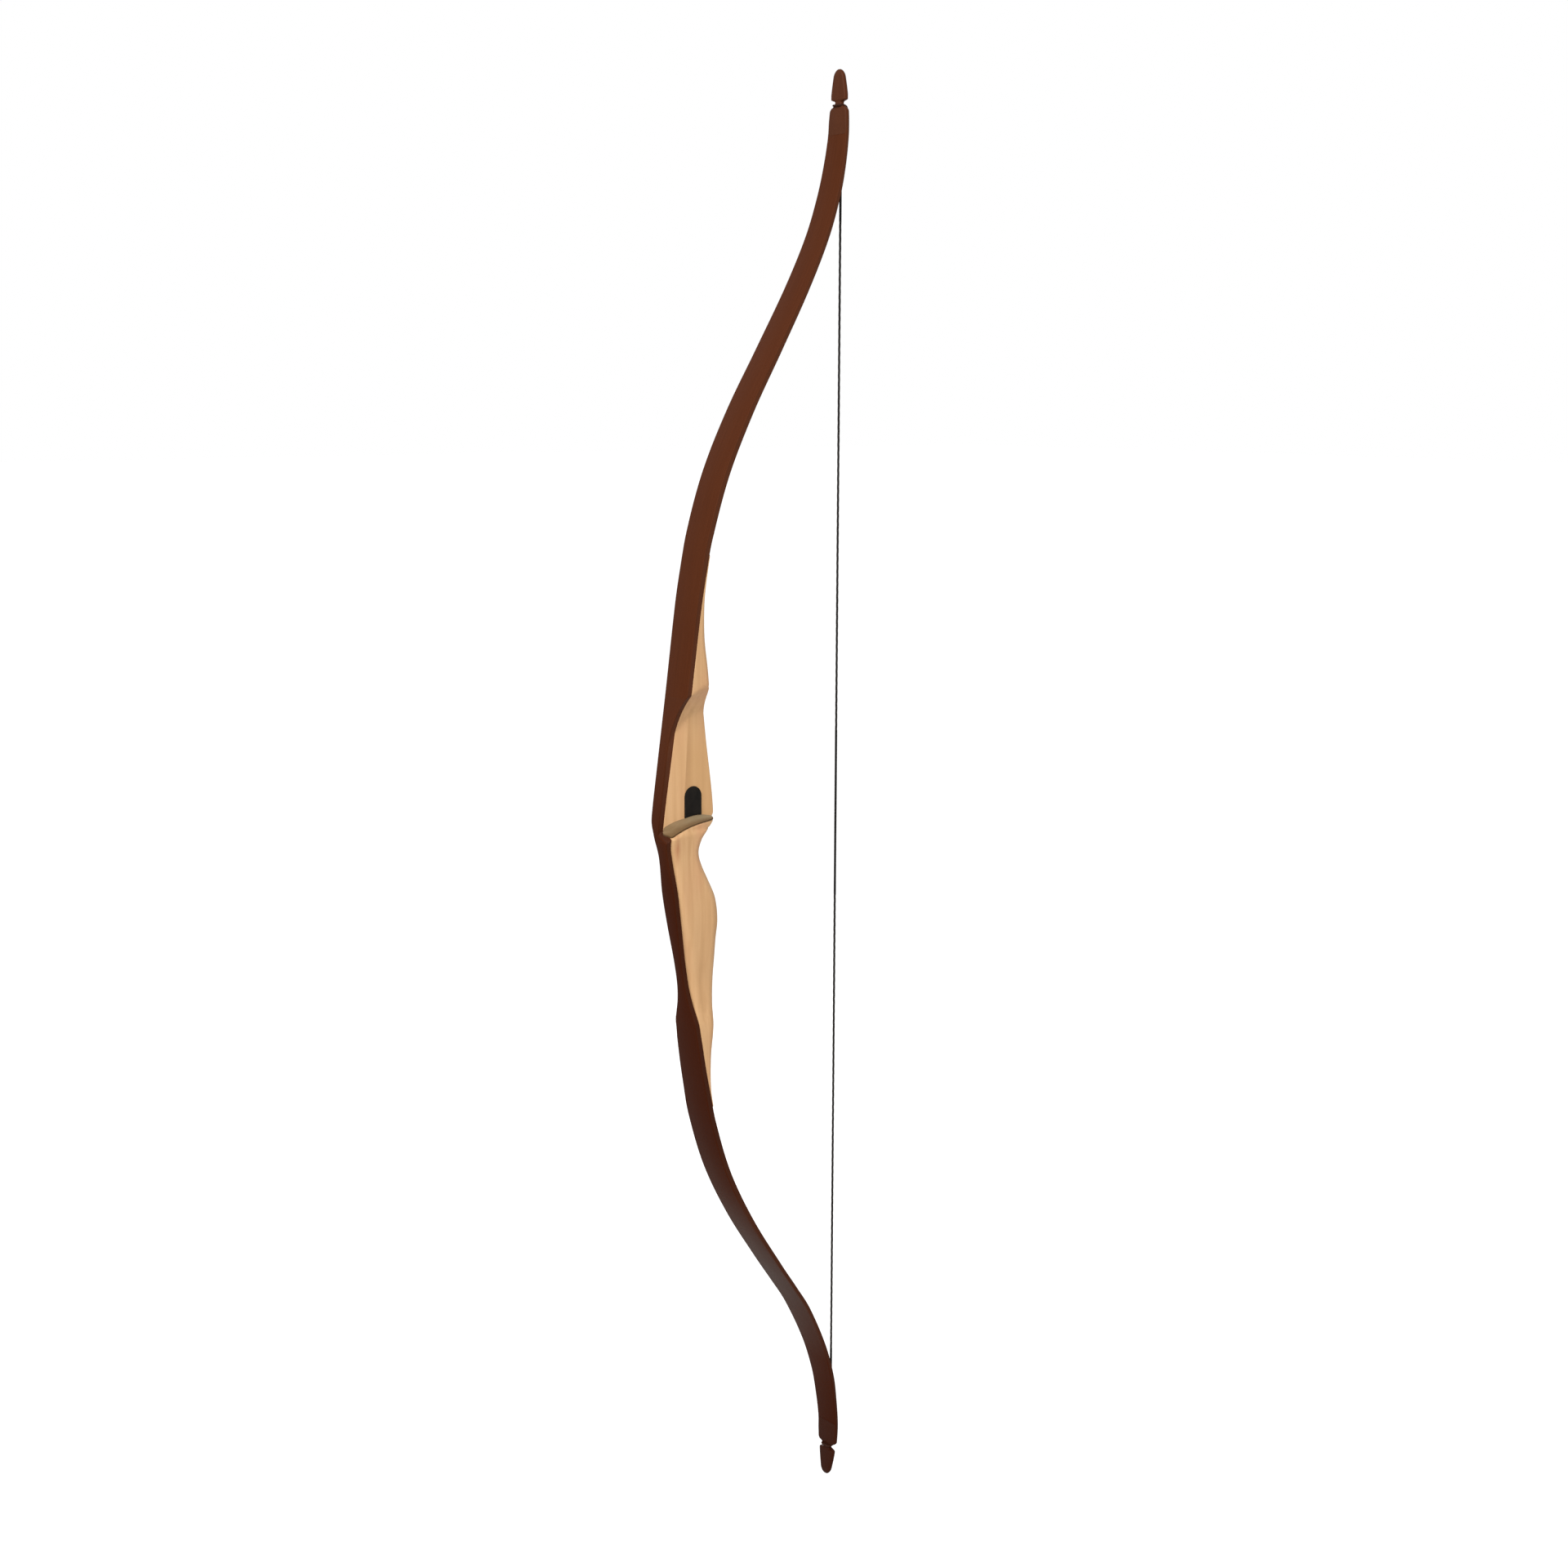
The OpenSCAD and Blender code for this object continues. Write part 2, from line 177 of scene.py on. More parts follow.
# %% A finish
class Finish:
    """A material under construction, with the patterns that the finishes share."""

    def __init__(self, name):
        self.material = bpy.data.materials.new(name)
        self.material.use_nodes = True
        self.tree = self.material.node_tree
        self.tree.nodes.clear()
        self.place = self.node("ShaderNodeAttribute", {"attribute_name": "place"}, output="Vector")

    def node(self, kind, settings=None, inputs=None, output=0):
        return add_node(self.tree, kind, settings, inputs, output)

    def stretched(self, scale):
        """The place, scaled apart in its three directions."""
        return self.node("ShaderNodeVectorMath", {"operation": "MULTIPLY"}, {0: self.place, 1: scale})

    def noise(self, scale, detail=3.0, rough=0.55):
        inputs = {"Vector": self.stretched(scale), "Scale": 1.0, "Detail": detail, "Roughness": rough}
        return self.node("ShaderNodeTexNoise", None, inputs)

    def axis(self, index):
        """One of the three coordinates of the place, as a number."""
        return self.node("ShaderNodeSeparateXYZ", None, {0: self.place}, output=index)

    def near(self, index, centre, reach):
        """1 where a coordinate is at the centre, fading to 0 at the reach."""
        away = self.axis(index) - centre
        return (1.0 - away.math("ABSOLUTE", away) * (1 / reach)).clamped()

    def ramp(self, value, stops):
        return self.node("ShaderNodeValToRGB", {"stops": stops}, {0: value})

    def mixed(self, share, first, second, blend="MIX"):
        settings = {"data_type": "RGBA", "blend_type": blend}
        return self.node("ShaderNodeMix", settings, {0: share, 6: first, 7: second}, output=2)

    def bumped(self, height, depth):
        return self.node("ShaderNodeBump", None, {"Height": height, "Distance": depth, "Strength": 1.0})

    def done(self, **sockets):
        """Closes the material with a Principled shader; socket names are given with underscores."""
        inputs = {name.replace("_", " "): value for name, value in sockets.items()}
        shader = self.node("ShaderNodeBsdfPrincipled", None, inputs)
        self.node("ShaderNodeOutputMaterial", None, {"Surface": shader})
        return self.material


print("patterns:", [name for name in vars(Finish) if not name.startswith("_")])

# %% [markdown]
# ## The pale wood
#
# The riser is one block of pale hardwood under a satin varnish. Its year rings show as soft upright
# bands, its pores as short fine dashes, and here and there the tone drifts towards pink. A wave
# texture would give bands as even as corduroy, so the bands come from a noise that is stretched
# a hundredfold up the bow, and the pores from a second, finer one. Behind the crease where the
# window's wall turns into its bevel, the wall has painted shade: a little darker all over, and darker
# still just behind the crease. One darker flame of figure lies on the near side of the grip.

# %% Riser wood
MM = 0.001
CREASE_PLACE, CREASE_LEAN = -15.8, 0.063
CREASE_WIDTH, CREASE_SHADE = 0.4, 8
WALL_FOOT, WALL_HEAD = 18, 116
WALL_BAND_Y, WALL_BAND = 0.5, 3
FLAME_HEIGHT, FLAME_X, FLAME_NEAR_Y = -8, -31, -8
FLAME_TALL, FLAME_WIDE = 20, 4.5


def riser_wood():
    f = Finish("riser_wood")
    bands = f.noise((2.0, 190.0, 150.0), detail=2.0)
    drift = f.noise((9.0, 30.0, 30.0), detail=1.0)
    pores = f.noise((70.0, 2600.0, 2600.0), detail=2.0)
    tone = f.ramp(bands, [(0.28, (0.575, 0.327, 0.151)), (0.46, (0.636, 0.371, 0.176)),
                          (0.58, (0.668, 0.402, 0.198)), (0.76, (0.620, 0.352, 0.163))])
    warmed = f.mixed(((drift - 0.52) * 2.2).clamped(), tone, (0.64, 0.322, 0.170, 1.0))
    pored = f.mixed(((pores - 0.58) * 2.6).clamped() * 0.28, warmed, (0.38, 0.19, 0.080, 1.0))
    near_side = ((f.axis(1) - FLAME_NEAR_Y * MM) * -400).clamped()
    flame = f.near(0, FLAME_HEIGHT * MM, FLAME_TALL * MM) * f.near(2, FLAME_X * MM, FLAME_WIDE * MM)
    flamed = f.mixed(flame * near_side * 0.9, pored, (0.47, 0.200, 0.088, 1.0))
    # Painted shade: the window wall behind the crease is darkened a little all over, and most just behind
    # the crease.
    behind = f.axis(2) - f.axis(0) * CREASE_LEAN - CREASE_PLACE * MM
    above_foot = ((f.axis(0) - WALL_FOOT * MM) * 400).clamped()
    below_head = ((WALL_HEAD * MM - f.axis(0)) * 30).clamped()
    at_wall = (f.near(1, WALL_BAND_Y * MM, WALL_BAND * MM) * 3.0).clamped()
    wall = at_wall * (above_foot * below_head)
    wall_shade_share = wall * (behind * (1 / (CREASE_WIDTH * MM)) + 0.5).clamped()
    deep = f.mixed(wall_shade_share * 0.45, flamed, (0.600, 0.338, 0.138, 1.0))
    beside_crease = (1.0 - behind * (1 / (CREASE_SHADE * MM))).clamped()
    shaded = f.mixed(wall_shade_share * beside_crease * 0.45, deep, (0.42, 0.215, 0.098, 1.0))
    return f.done(Base_Color=shaded, Roughness=0.42 + bands * 0.12, Specular_IOR_Level=0.3,
                  Coat_Weight=0.06, Coat_Roughness=0.3, Normal=f.bumped(pores, 0.00004))


# %% [markdown]
# ## The brown facings and the stained core
#
# The facings are dark brown glass fibre, rubbed to a satin gloss. Close up they show hair-fine
# fibres along the limb, so both the colour and the bump take a noise that is stretched along it.
# The core between them is stained to match and is a shade duller, as end grain drinks more stain.
# From the grip down the facing is darker, a painted shade that `lower_painted_shade` works out from the
# height, and half way down the lower limb a greyer painted reflection lies on the facing.

# %% Facing and core
# Painted shade: the facing and core are darker from the grip down to the lower tip, at these shares by
# height.
SHADES = ((-720, 1.2), (-656, 1.0), (-544, 0.6), (-416, 0.6), (-320, 1.0), (-48, 1.0), (96, 0.0))
SHADE_SPAN = 1.6
REFLECTION_HEIGHT, REFLECTION_REACH = -495, 115


def lower_painted_shade(f):
    """How much painted shade darkens the bow, from 0 on the upper limb to 1 at the grip."""
    up_the_bow = f.axis(0) * (1 / SHADE_SPAN) + 0.5
    stops = [(height * MM / SHADE_SPAN + 0.5, (shade, shade, shade)) for height, shade in SHADES]
    return f.ramp(up_the_bow, stops) * 1.0


def brown_facing():
    f = Finish("brown_facing")
    fibres = f.noise((14.0, 900.0, 900.0), detail=3.0)
    cloud = f.noise((12.0, 40.0, 40.0), detail=2.0)
    brown = f.ramp(fibres, [(0.25, (0.077, 0.0192, 0.0056)), (0.75, (0.096, 0.0248, 0.0078))])
    clouded = f.mixed(((cloud - 0.45) * 0.9).clamped(), brown, (0.102, 0.028, 0.0095, 1.0))
    # Painted shade from the grip down.
    toned = f.mixed(lower_painted_shade(f) * 0.75, clouded, (0.040, 0.0056, 0.0006, 1.0))
    # Painted reflection: a greyer patch half way down the lower limb.
    painted_reflection = f.near(0, REFLECTION_HEIGHT * MM, REFLECTION_REACH * MM) * 0.85
    reflected = f.mixed(painted_reflection, toned, (0.092, 0.056, 0.046, 1.0))
    return f.done(Base_Color=reflected, Roughness=0.40 + cloud * 0.14, Specular_IOR_Level=0.05,
                  Normal=f.bumped(fibres, 0.00003))


def stained_core():
    f = Finish("stained_core")
    grain = f.noise((20.0, 1300.0, 1300.0), detail=3.0)
    cloud = f.noise((16.0, 60.0, 60.0), detail=2.0)
    brown = f.ramp(grain, [(0.25, (0.072, 0.0195, 0.0065)), (0.75, (0.098, 0.0285, 0.0100))])
    clouded = f.mixed(((cloud - 0.45) * 0.8).clamped(), brown, (0.115, 0.036, 0.0140, 1.0))
    # The same painted shade darkens the core from the grip down.
    toned = f.mixed(lower_painted_shade(f) * 0.8, clouded, (0.038, 0.0066, 0.0010, 1.0))
    return f.done(Base_Color=toned, Roughness=0.46 + grain * 0.12, Specular_IOR_Level=0.11,
                  Normal=f.bumped(grain, 0.00004))


# %% [markdown]
# ## Plate, suede and string
#
# The plate on the window wall is matt black. The shelf wears a strip of suede, whose nap
# scatters light at grazing angles: that is what the sheen sockets are for. The suede is lighter
# towards the archer, browner towards its outer edge, and darkest at its cut rim next to the wood,
# where a painted shadow stands for the shade under the pad's edge. The string is waxed strand, and
# the thread that is wound over it is drier and darker. The loops are wound with brown thread,
# which hardly shows against the tips.

# %% Small finishes
PAD_SHARES = 10.0
PAD_LIGHTEN_START = -36


def black_plate():
    f = Finish("black_plate")
    grit = f.noise((1500.0, 1500.0, 1500.0), detail=3.0)
    worn = f.noise((120.0, 160.0, 160.0), detail=2.0)
    black = f.ramp(worn, [(0.35, (0.0070, 0.0054, 0.0042)), (0.70, (0.0120, 0.0094, 0.0074))])
    return f.done(Base_Color=black, Roughness=0.62 + worn * 0.2, Specular_IOR_Level=0.15,
                  Normal=f.bumped(grit, 0.00006))


def shelf_suede():
    f = Finish("shelf_suede")
    nap = f.noise((1700.0, 1700.0, 1700.0), detail=4.0, rough=0.65)
    strokes = f.noise((90.0, 160.0, 90.0), detail=2.0)
    tan = f.ramp(strokes, [(0.30, (0.225, 0.140, 0.064)), (0.72, (0.280, 0.185, 0.094))])
    # Tones across the pad: lighter towards the archer, browner towards its outer edge.
    archer_share = ((f.axis(0) - PAD_LIGHTEN_START * MM) * 18).clamped()
    archer_lightened = f.mixed(archer_share * 0.7, tan, (0.335, 0.262, 0.158, 1.0))
    napped = f.mixed(((nap - 0.3) * 0.5).clamped(), archer_lightened, (0.13, 0.082, 0.038, 1.0))
    outer_half = ((f.axis(1) - PAD_SHARES / 2 * MM) * 260).clamped()
    outer_darkened = f.mixed(outer_half * 0.75, napped, (0.150, 0.080, 0.030, 1.0))
    # Painted shadow: the cut rim darkens towards the wood, for the shade under the pad's edge.
    rim_shadow_share = (f.axis(2) * 900).clamped()
    rim_shadowed = f.mixed(rim_shadow_share * 0.9, outer_darkened, (0.070, 0.032, 0.010, 1.0))
    return f.done(Base_Color=rim_shadowed, Roughness=0.95, Sheen_Weight=0.15, Sheen_Roughness=0.5,
                  Sheen_Tint=(0.70, 0.62, 0.48, 1.0), Specular_IOR_Level=0.2,
                  Normal=f.bumped(nap, 0.00012))


def string_strands():
    f = Finish("string_strands")
    wax = f.noise((300.0, 900.0, 900.0), detail=2.0)
    lay = (f.axis(1) * 14.0 + f.axis(0) * 900.0).sine()
    dark = f.ramp(wax, [(0.3, (0.0110, 0.0090, 0.0080)), (0.7, (0.0230, 0.0200, 0.0180))])
    return f.done(Base_Color=dark, Roughness=0.55 + wax * 0.2, Specular_IOR_Level=0.15,
                  Normal=f.bumped(lay, 0.00005))


def wound_thread(name, deep, worn, gloss):
    """Thread in close turns, a little lighter where it is worn."""
    f = Finish(name)
    wear = f.noise((200.0, 60.0, 60.0), detail=2.0)
    tone = f.ramp(wear, [(0.3, deep), (0.7, worn)])
    return f.done(Base_Color=tone, Roughness=0.6 + wear * 0.15, Specular_IOR_Level=gloss)


def serving_thread():
    return wound_thread("serving_thread", (0.0075, 0.0065, 0.0060), (0.0160, 0.0140, 0.0125), 0.15)


def loop_thread():
    return wound_thread("loop_thread", (0.034, 0.0115, 0.0060), (0.052, 0.0180, 0.0095), 0.10)


MAKERS = (riser_wood, brown_facing, stained_core, black_plate, shelf_suede, string_strands,
          serving_thread, loop_thread)
FINISHES = {make.__name__: make() for make in MAKERS}
SLOT_OF = {name: "serving_thread" if name == "loop_thread" else name for name in FINISHES}
print("finishes:", sorted(FINISHES))

# %% [markdown]
# ## The bow's own lines
#
# Shapes are worked out in millimetres, with heights counted from the middle of the bow. A few
# points are given where the shape turns, and `smooth_curve` runs through them. The back
# line gives how far the front of the bow stands off the string. Nothing is quite the same above and
# below the middle: the hand holds the riser below the arrow, and the lower limb is a little wider.

# %% Sizes of the bow
MIDDLE = 17.0
BRACE = 187.0
NOCK = 719.5
LIMB_HALF_WIDTH = 18.0
RISER_THICK, LIMB_THICK, TIP_THICK = 6.1, 6.6, 4.4
FACING = 1.1
OVERLAY = 1.1
WOOD_END, LEAST_WOOD = 283.0, 0.3
TAPER_START, TAPER_END = 300.0, 690.0
ROOT_OUTER, ROOT_INNER = 280.0, 220.0


def smooth_curve(points):
    """A smooth curve through (height, value) points, as a function of height."""
    at, value = np.array(points, float).T
    slope = np.empty(len(at))
    slope[1:-1] = (value[2:] - value[:-2]) / (at[2:] - at[:-2])
    slope[0] = (value[1] - value[0]) / (at[1] - at[0])
    slope[-1] = (value[-1] - value[-2]) / (at[-1] - at[-2])

    def curve(height):
        h = np.clip(height, at[0], at[-1])
        i = np.clip(np.searchsorted(at, h, side="right") - 1, 0, len(at) - 2)
        span = at[i + 1] - at[i]
        u = (h - at[i]) / span
        return ((2 * u**3 - 3 * u**2 + 1) * value[i] + (u**3 - 2 * u**2 + u) * span * slope[i]
                + (3 * u**2 - 2 * u**3) * value[i + 1] + (u**3 - u**2) * span * slope[i + 1])

    return curve


back_line = smooth_curve([
    (-760, 8.4), (-715, 5.6), (-690, 5.6), (-660, 9.0), (-630, 14.4), (-590, 27.6), (-540, 52.0),
    (-510, 71.8), (-480, 92.4), (-420, 131.2), (-360, 162.1), (-300, 182.2), (-262, 190.1), (-231, 195.5),
    (-150, 206.9), (-80, 218.3), (-22, 226.8), (0, 230.4), (22, 228.5), (80, 219.9), (150, 209.4),
    (231, 197.6), (262, 191.9), (300, 183.2), (360, 162.2), (420, 131.6), (480, 94.7), (540, 58.5),
    (590, 32.6), (630, 17.8), (660, 10.2), (690, 5.4), (715, 4.0), (760, 4.1)])
belly_line = smooth_curve([
    (-283, 178.6), (-266, 180.6), (-230, 178.2), (-194, 172.5), (-150, 169), (-107, 165.7),
    (-88, 163.5), (-64, 166.5), (-46, 174.7), (-30, 182.5), (-17, 186.4), (-4, 183.2), (5, 177),
    (13, 169), (18.5, 164.4), (22, 163.4), (46, 165.4), (95, 172), (125, 175.4), (151, 178.6),
    (170, 180.6), (200, 184.4), (236, 186.0), (262, 183.6), (283, 180.1)])
back_share = smooth_curve([
    (-283, 1.075), (-262, 1.045), (-234, 1.005), (-212, 0.975), (-202, 0.93), (-192, 0.9),
    (-182, 0.72), (-170, 0.5), (-152, 0.33), (-125, 0.33), (-90, 0.46), (-55, 0.54), (-25, 0.42),
    (-10, 0.43), (4, 0.65), (16, 0.92), (26, 0.97), (150, 0.985), (230, 1.0), (283, 1.0)])
wood_share = smooth_curve([
    (-208, 1.0), (-194, 0.95), (-177, 0.74), (-150, 0.62), (-125, 0.7), (-85, 0.79), (-50, 0.73),
    (-20, 0.66), (-6, 0.69), (6, 0.75), (17, 0.8), (28, 0.94), (40, 1.0)])
belly_round = smooth_curve([
    (-283, 0.4), (-248, 4), (-212, 8), (-177, 10), (-150, 10), (-85, 12.5), (-20, 11), (6, 11),
    (24, 9), (60, 7), (100, 7), (150, 7), (170, 7), (200, 7), (231, 4.5), (262, 1.2), (283, 0.4)])
limb_share = {
    1: smooth_curve([(283, 1.0), (310, 1.025), (345, 1.035), (400, 1.03), (480, 0.985), (545, 0.93),
                     (600, 0.89), (641, 0.86), (673, 0.805), (705, 0.725), (714, 0.69)]),
    -1: smooth_curve([(283, 1.075), (310, 1.085), (386, 1.105), (430, 1.115), (518, 1.1), (563, 1.035),
                      (600, 0.975), (629, 0.93), (660, 0.865), (690, 0.81), (714, 0.76)])}


def back_x(height):
    """The front face of the bow, the side that faces the target."""
    return BRACE - back_line(height)


def share_between(value, start, end):
    """0 before the start, 1 past the end, and an even rise from one to the other."""
    return min(1.0, max(0.0, (value - start) / (end - start)))


def eased(share):
    """The same share with a soft start and a soft end."""
    return share * share * (3 - 2 * share)


def tilt(height):
    """How much longer a thickness is when it is measured level, on a limb that leans."""
    lean = back_x(height + 0.5) - back_x(height - 0.5)
    return math.sqrt(1 + lean**2)


def stack_thick(height):
    """All layers together: thickest where the limb leaves the riser."""
    beyond = share_between(abs(height), TAPER_START, TAPER_END)
    behind = share_between(abs(height), ROOT_OUTER, ROOT_INNER)
    return LIMB_THICK + (TIP_THICK - LIMB_THICK) * beyond + (RISER_THICK - LIMB_THICK) * behind


def depth_x(height, depth):
    """The place of a layer that lies this deep behind the front face."""
    return back_x(height) + depth * tilt(height)


def belly_x(height):
    """The archer's side of the riser, which never comes closer to the front than its layers."""
    return max(BRACE - float(belly_line(height)), depth_x(height, stack_thick(height)) + LEAST_WOOD)


print("throat of the grip, mm:", round(float(BRACE - belly_line(-17) - back_x(-17)), 1))

# %% [markdown]
# ## The sight window
#
# The window is the cut that lets the arrow pass through the middle of the bow. Seen as a rule, it
# takes away everything on the near side of a limit: a flat wall just short of the middle with
# a bevel on its front edge and a sanded edge at the back, a round run-out at the top, and a crowned
# shelf at the bottom that falls towards the open side. Under the shelf the block is trimmed flush
# with the pad's outer edge and swells out again below it. `window_y` gives that limit for any
# place, and every section is clipped to it, so wood and facings are cut by one and the same window.

# %% Window rule
WALL = -0.5
BEVEL = math.radians(12)
EDGE_ROUND, EDGE_SHARE, EDGE_STEEPEST = 2.4, 0.93, 0.98
RUNOUT_R, RUNOUT_START, RUNOUT_Y, RUNOUT_STEEPEST = 75.0, 91.5, 4.0, 0.8
RUNOUT_X, RUNOUT_RISE = -18.0, 0.32
SHELF_X, SHELF_HEIGHT, SHELF_R, SHELF_STEEPEST = BRACE - 186, 20.9, 73.0, 0.9
SHELF_FALL = math.radians(25)
PAD_THICK = 1.6
FLUSH_TOP, FLUSH_FOOT, FLUSH_FRONT = 30.0, 9.0, -30.0
FLUSH_LIP, FLUSH_LEAST, FLUSH_SWELL = 0.3, 6.0, 0.8


def shelf_drop(x, radius):
    """How much lower than its crown line the shelf, or the pad's top, is at a distance x."""
    across = np.clip(x - SHELF_X, -SHELF_STEEPEST * radius, SHELF_STEEPEST * radius)
    return (SHELF_R - np.sqrt(radius**2 - across**2)) / math.cos(SHELF_FALL)


def arc_drop(radius, share):
    """How far a quarter round has fallen away from its flat start, at a share of its radius."""
    return radius * (1 - np.sqrt(1 - share**2))


def crease_x(height):
    """Where the wall turns into the bevel; it leans back a little towards the top."""
    return CREASE_PLACE + CREASE_LEAN * height


pad_edge = smooth_curve([
    (-41, 2.4), (-39, 5.8), (-36, 9.6), (-31, 10.8), (-20, 11.6), (-12, 11.9), (-3, 11.4), (5, 10.1),
    (12, 8.2), (17, 5.9), (22, 2.2)])


def window_y(x, height):
    """What lies on the near side of this limit is cut away by the window."""
    x = np.asarray(x, float)
    limit = WALL + np.maximum(0, crease_x(height) - x) * math.tan(BEVEL)
    turn = np.clip((x - belly_x(height)) / EDGE_ROUND + EDGE_SHARE, 0, EDGE_STEEPEST)
    limit += arc_drop(EDGE_ROUND, turn)
    above = height - RUNOUT_RISE * (x - RUNOUT_X) - RUNOUT_START
    climb = np.clip(above / RUNOUT_R, 0, RUNOUT_STEEPEST)
    limit = np.minimum(limit, RUNOUT_Y - arc_drop(RUNOUT_R, climb))
    shelf = height - SHELF_HEIGHT + shelf_drop(x, SHELF_R - PAD_THICK)
    limit = np.minimum(limit, WALL + shelf / math.tan(SHELF_FALL))
    if height > FLUSH_TOP:
        return limit
    edge = np.maximum(pad_edge(np.maximum(x, FLUSH_FRONT)), FLUSH_LEAST)
    return np.maximum(limit, -edge - FLUSH_LIP - FLUSH_SWELL * max(0, FLUSH_FOOT - height))


for height in (60, 145):
    print("the window cuts to y =", float(window_y(0, height)), "at", height, "mm")

# %% [markdown]
# ## From sections to skins
#
# Nearly everything on a bow is a long form with a changing section, so one helper does most of
# the work: it takes rings of equally many points and joins them into a closed skin. It also
# stores the `place` of every point and puts the piece into the frame's own metres.

# %% Skins from rings
SHARP = math.radians(32)


def make_piece(name, points, faces, finish, place=None, sharp=SHARP):
    """A mesh object from points in millimetres, shaded smooth apart from its sharp edges."""
    points = np.asarray(points, float)
    mesh = bpy.data.meshes.new(name)
    mesh.from_pydata((points * MM + (0, 0, MIDDLE * MM)).tolist(), [], faces)
    work = bmesh.new()
    work.from_mesh(mesh)
    bmesh.ops.recalc_face_normals(work, faces=work.faces)
    work.to_mesh(mesh)
    work.free()
    mesh.shade_smooth()
    mesh.set_sharp_from_angle(angle=sharp)
    if place is None:
        place = points[:, [2, 1, 0]]
    stored = mesh.attributes.new("place", "FLOAT_VECTOR", "POINT")
    stored.data.foreach_set("vector", (np.asarray(place, float) * MM).astype(np.float32).ravel())
    mesh.materials.append(FINISHES[finish])
    piece = bpy.data.objects.new(name, mesh)
    bpy.context.scene.collection.objects.link(piece)
    return piece


def ring_faces(rings, count):
    """Quads between neighbouring rings, and one cap at each end."""
    faces = [[count - 1 - j for j in range(count)], [(rings - 1) * count + j for j in range(count)]]
    for k in range(rings - 1):
        for j in range(count):
            here, there = k * count + j, k * count + (j + 1) % count
            faces.append([here, there, there + count, here + count])
    return faces


def skin(name, rings, finish, place=None, sharp=SHARP):
    rings = np.asarray(rings, float)
    points = rings.reshape(-1, 3)
    return make_piece(name, points, ring_faces(len(rings), rings.shape[1]), finish, place, sharp)


def heights_between(low, high, step):
    count = max(1, round((high - low) / step))
    return [low + (high - low) * i / count for i in range(count + 1)]


print("test ring faces:", len(ring_faces(3, 4)))

# %% [markdown]
# ## The limb stack
#
# Overlay, back facing, core and belly facing lie on each other like pages. The edges of the whole
# stack are rounded, not those of each layer, so `half_width_at` describes the rounded outline of
# the stack and every layer is a slice of it. Towards the end of a tip the outline also closes in
# from front and back, which makes the round nose that a string slides over.

# %% Outline of the stack
NECK_LOW, NECK_TOP = NOCK - 5, NOCK + 2.6
TIP_END = NOCK + 32.5
NOSE, NOSE_LEAST = 7.0, 0.16
SHOULDER, SHOULDER_RUN, SHOULDER_CUT = NECK_LOW - 0.4, 3.6, 1.6
OVERLAY_START, OVERLAY_FULL, OVERLAY_LEAST = 689.0, 703.0, 0.12
LIMB_SOFT, NOCK_SOFT, SOFT_START, SOFT_END = 0.9, 2.1, 690.0, 714.0
nock_outline = smooth_curve([
    (SHOULDER, 12.4), (NECK_LOW + 0.6, 9.4), (NECK_LOW + 1.8, 7.4), (NECK_LOW + 3, 5.8),
    (NECK_LOW + 4.2, 5.0), (NECK_TOP - 1.8, 4.9), (NECK_TOP - 0.9, 5.8), (NECK_TOP - 0.2, 8.2),
    (NECK_TOP + 0.6, 10.4), (NECK_TOP + 1.6, 11.2), (NECK_TOP + 9.7, 10.1), (NECK_TOP + 17.8, 8.5),
    (NECK_TOP + 24.3, 6.9), (TIP_END - 2, 4.8), (TIP_END - 0.7, 3.1), (TIP_END, 1.5)])


def outline_half_width(height):
    """Half width of the stack at its widest."""
    up = abs(height)
    if up <= WOOD_END:
        return LIMB_HALF_WIDTH * float(back_share(height))
    limb = LIMB_HALF_WIDTH * float(limb_share[1 if height > 0 else -1](up))
    wide = limb - SHOULDER_CUT * share_between(up, SHOULDER - SHOULDER_RUN, SHOULDER) ** 3
    return wide if up <= SHOULDER else min(wide, float(nock_outline(up)))


def overlay_thick(height):
    """The overlay runs out to nothing down the limb."""
    grown = eased(share_between(abs(height), OVERLAY_START, OVERLAY_FULL))
    return OVERLAY * (OVERLAY_LEAST + (1 - OVERLAY_LEAST) * grown)


def stack_faces(height):
    """Depth of the outermost and the innermost face of the stack."""
    up = abs(height)
    first = -overlay_thick(height) if up > OVERLAY_START else 0.0
    last = stack_thick(height)
    if up > TIP_END - NOSE:
        closing = math.sqrt(max(0.0, 1 - ((up - TIP_END + NOSE) / NOSE) ** 2))
        middle = (first + last) / 2
        half = (last - first) / 2 * (NOSE_LEAST + (1 - NOSE_LEAST) * closing)
        return middle - half, middle + half
    return first, last


def edge_round(height):
    """Radius of the rounded edges of the stack: small on the limb, larger round the nock."""
    wide = outline_half_width(height)
    first, last = stack_faces(height)
    softness = LIMB_SOFT + (NOCK_SOFT - LIMB_SOFT) * share_between(abs(height), SOFT_START, SOFT_END)
    return min(softness, wide * 0.8, (last - first) * 0.48)


def half_width_at(height, depth):
    wide, soft = outline_half_width(height), edge_round(height)
    first, last = stack_faces(height)
    near = min(max(min(depth - first, last - depth), 0.0), soft)
    return wide - soft + math.sqrt(max(0.0, soft**2 - (soft - near) ** 2))


LAYERS = {"overlay": "stained_core", "back_facing": "brown_facing", "core": "stained_core",
          "belly_facing": "brown_facing"}


def layer_depths(layer, height):
    """From where to where a layer lies behind the front face."""
    thick = stack_thick(height)
    low, high = {"overlay": (-overlay_thick(height), 0.0), "back_facing": (0.0, FACING),
                 "core": (FACING, thick - FACING), "belly_facing": (thick - FACING, thick)}[layer]
    first, last = stack_faces(height)
    return min(max(low, first), last), min(max(high, first), last)


limb_size = 2 * outline_half_width(400), stack_thick(400)
print("limb at 400 mm, width and thickness:", [round(size, 1) for size in limb_size])

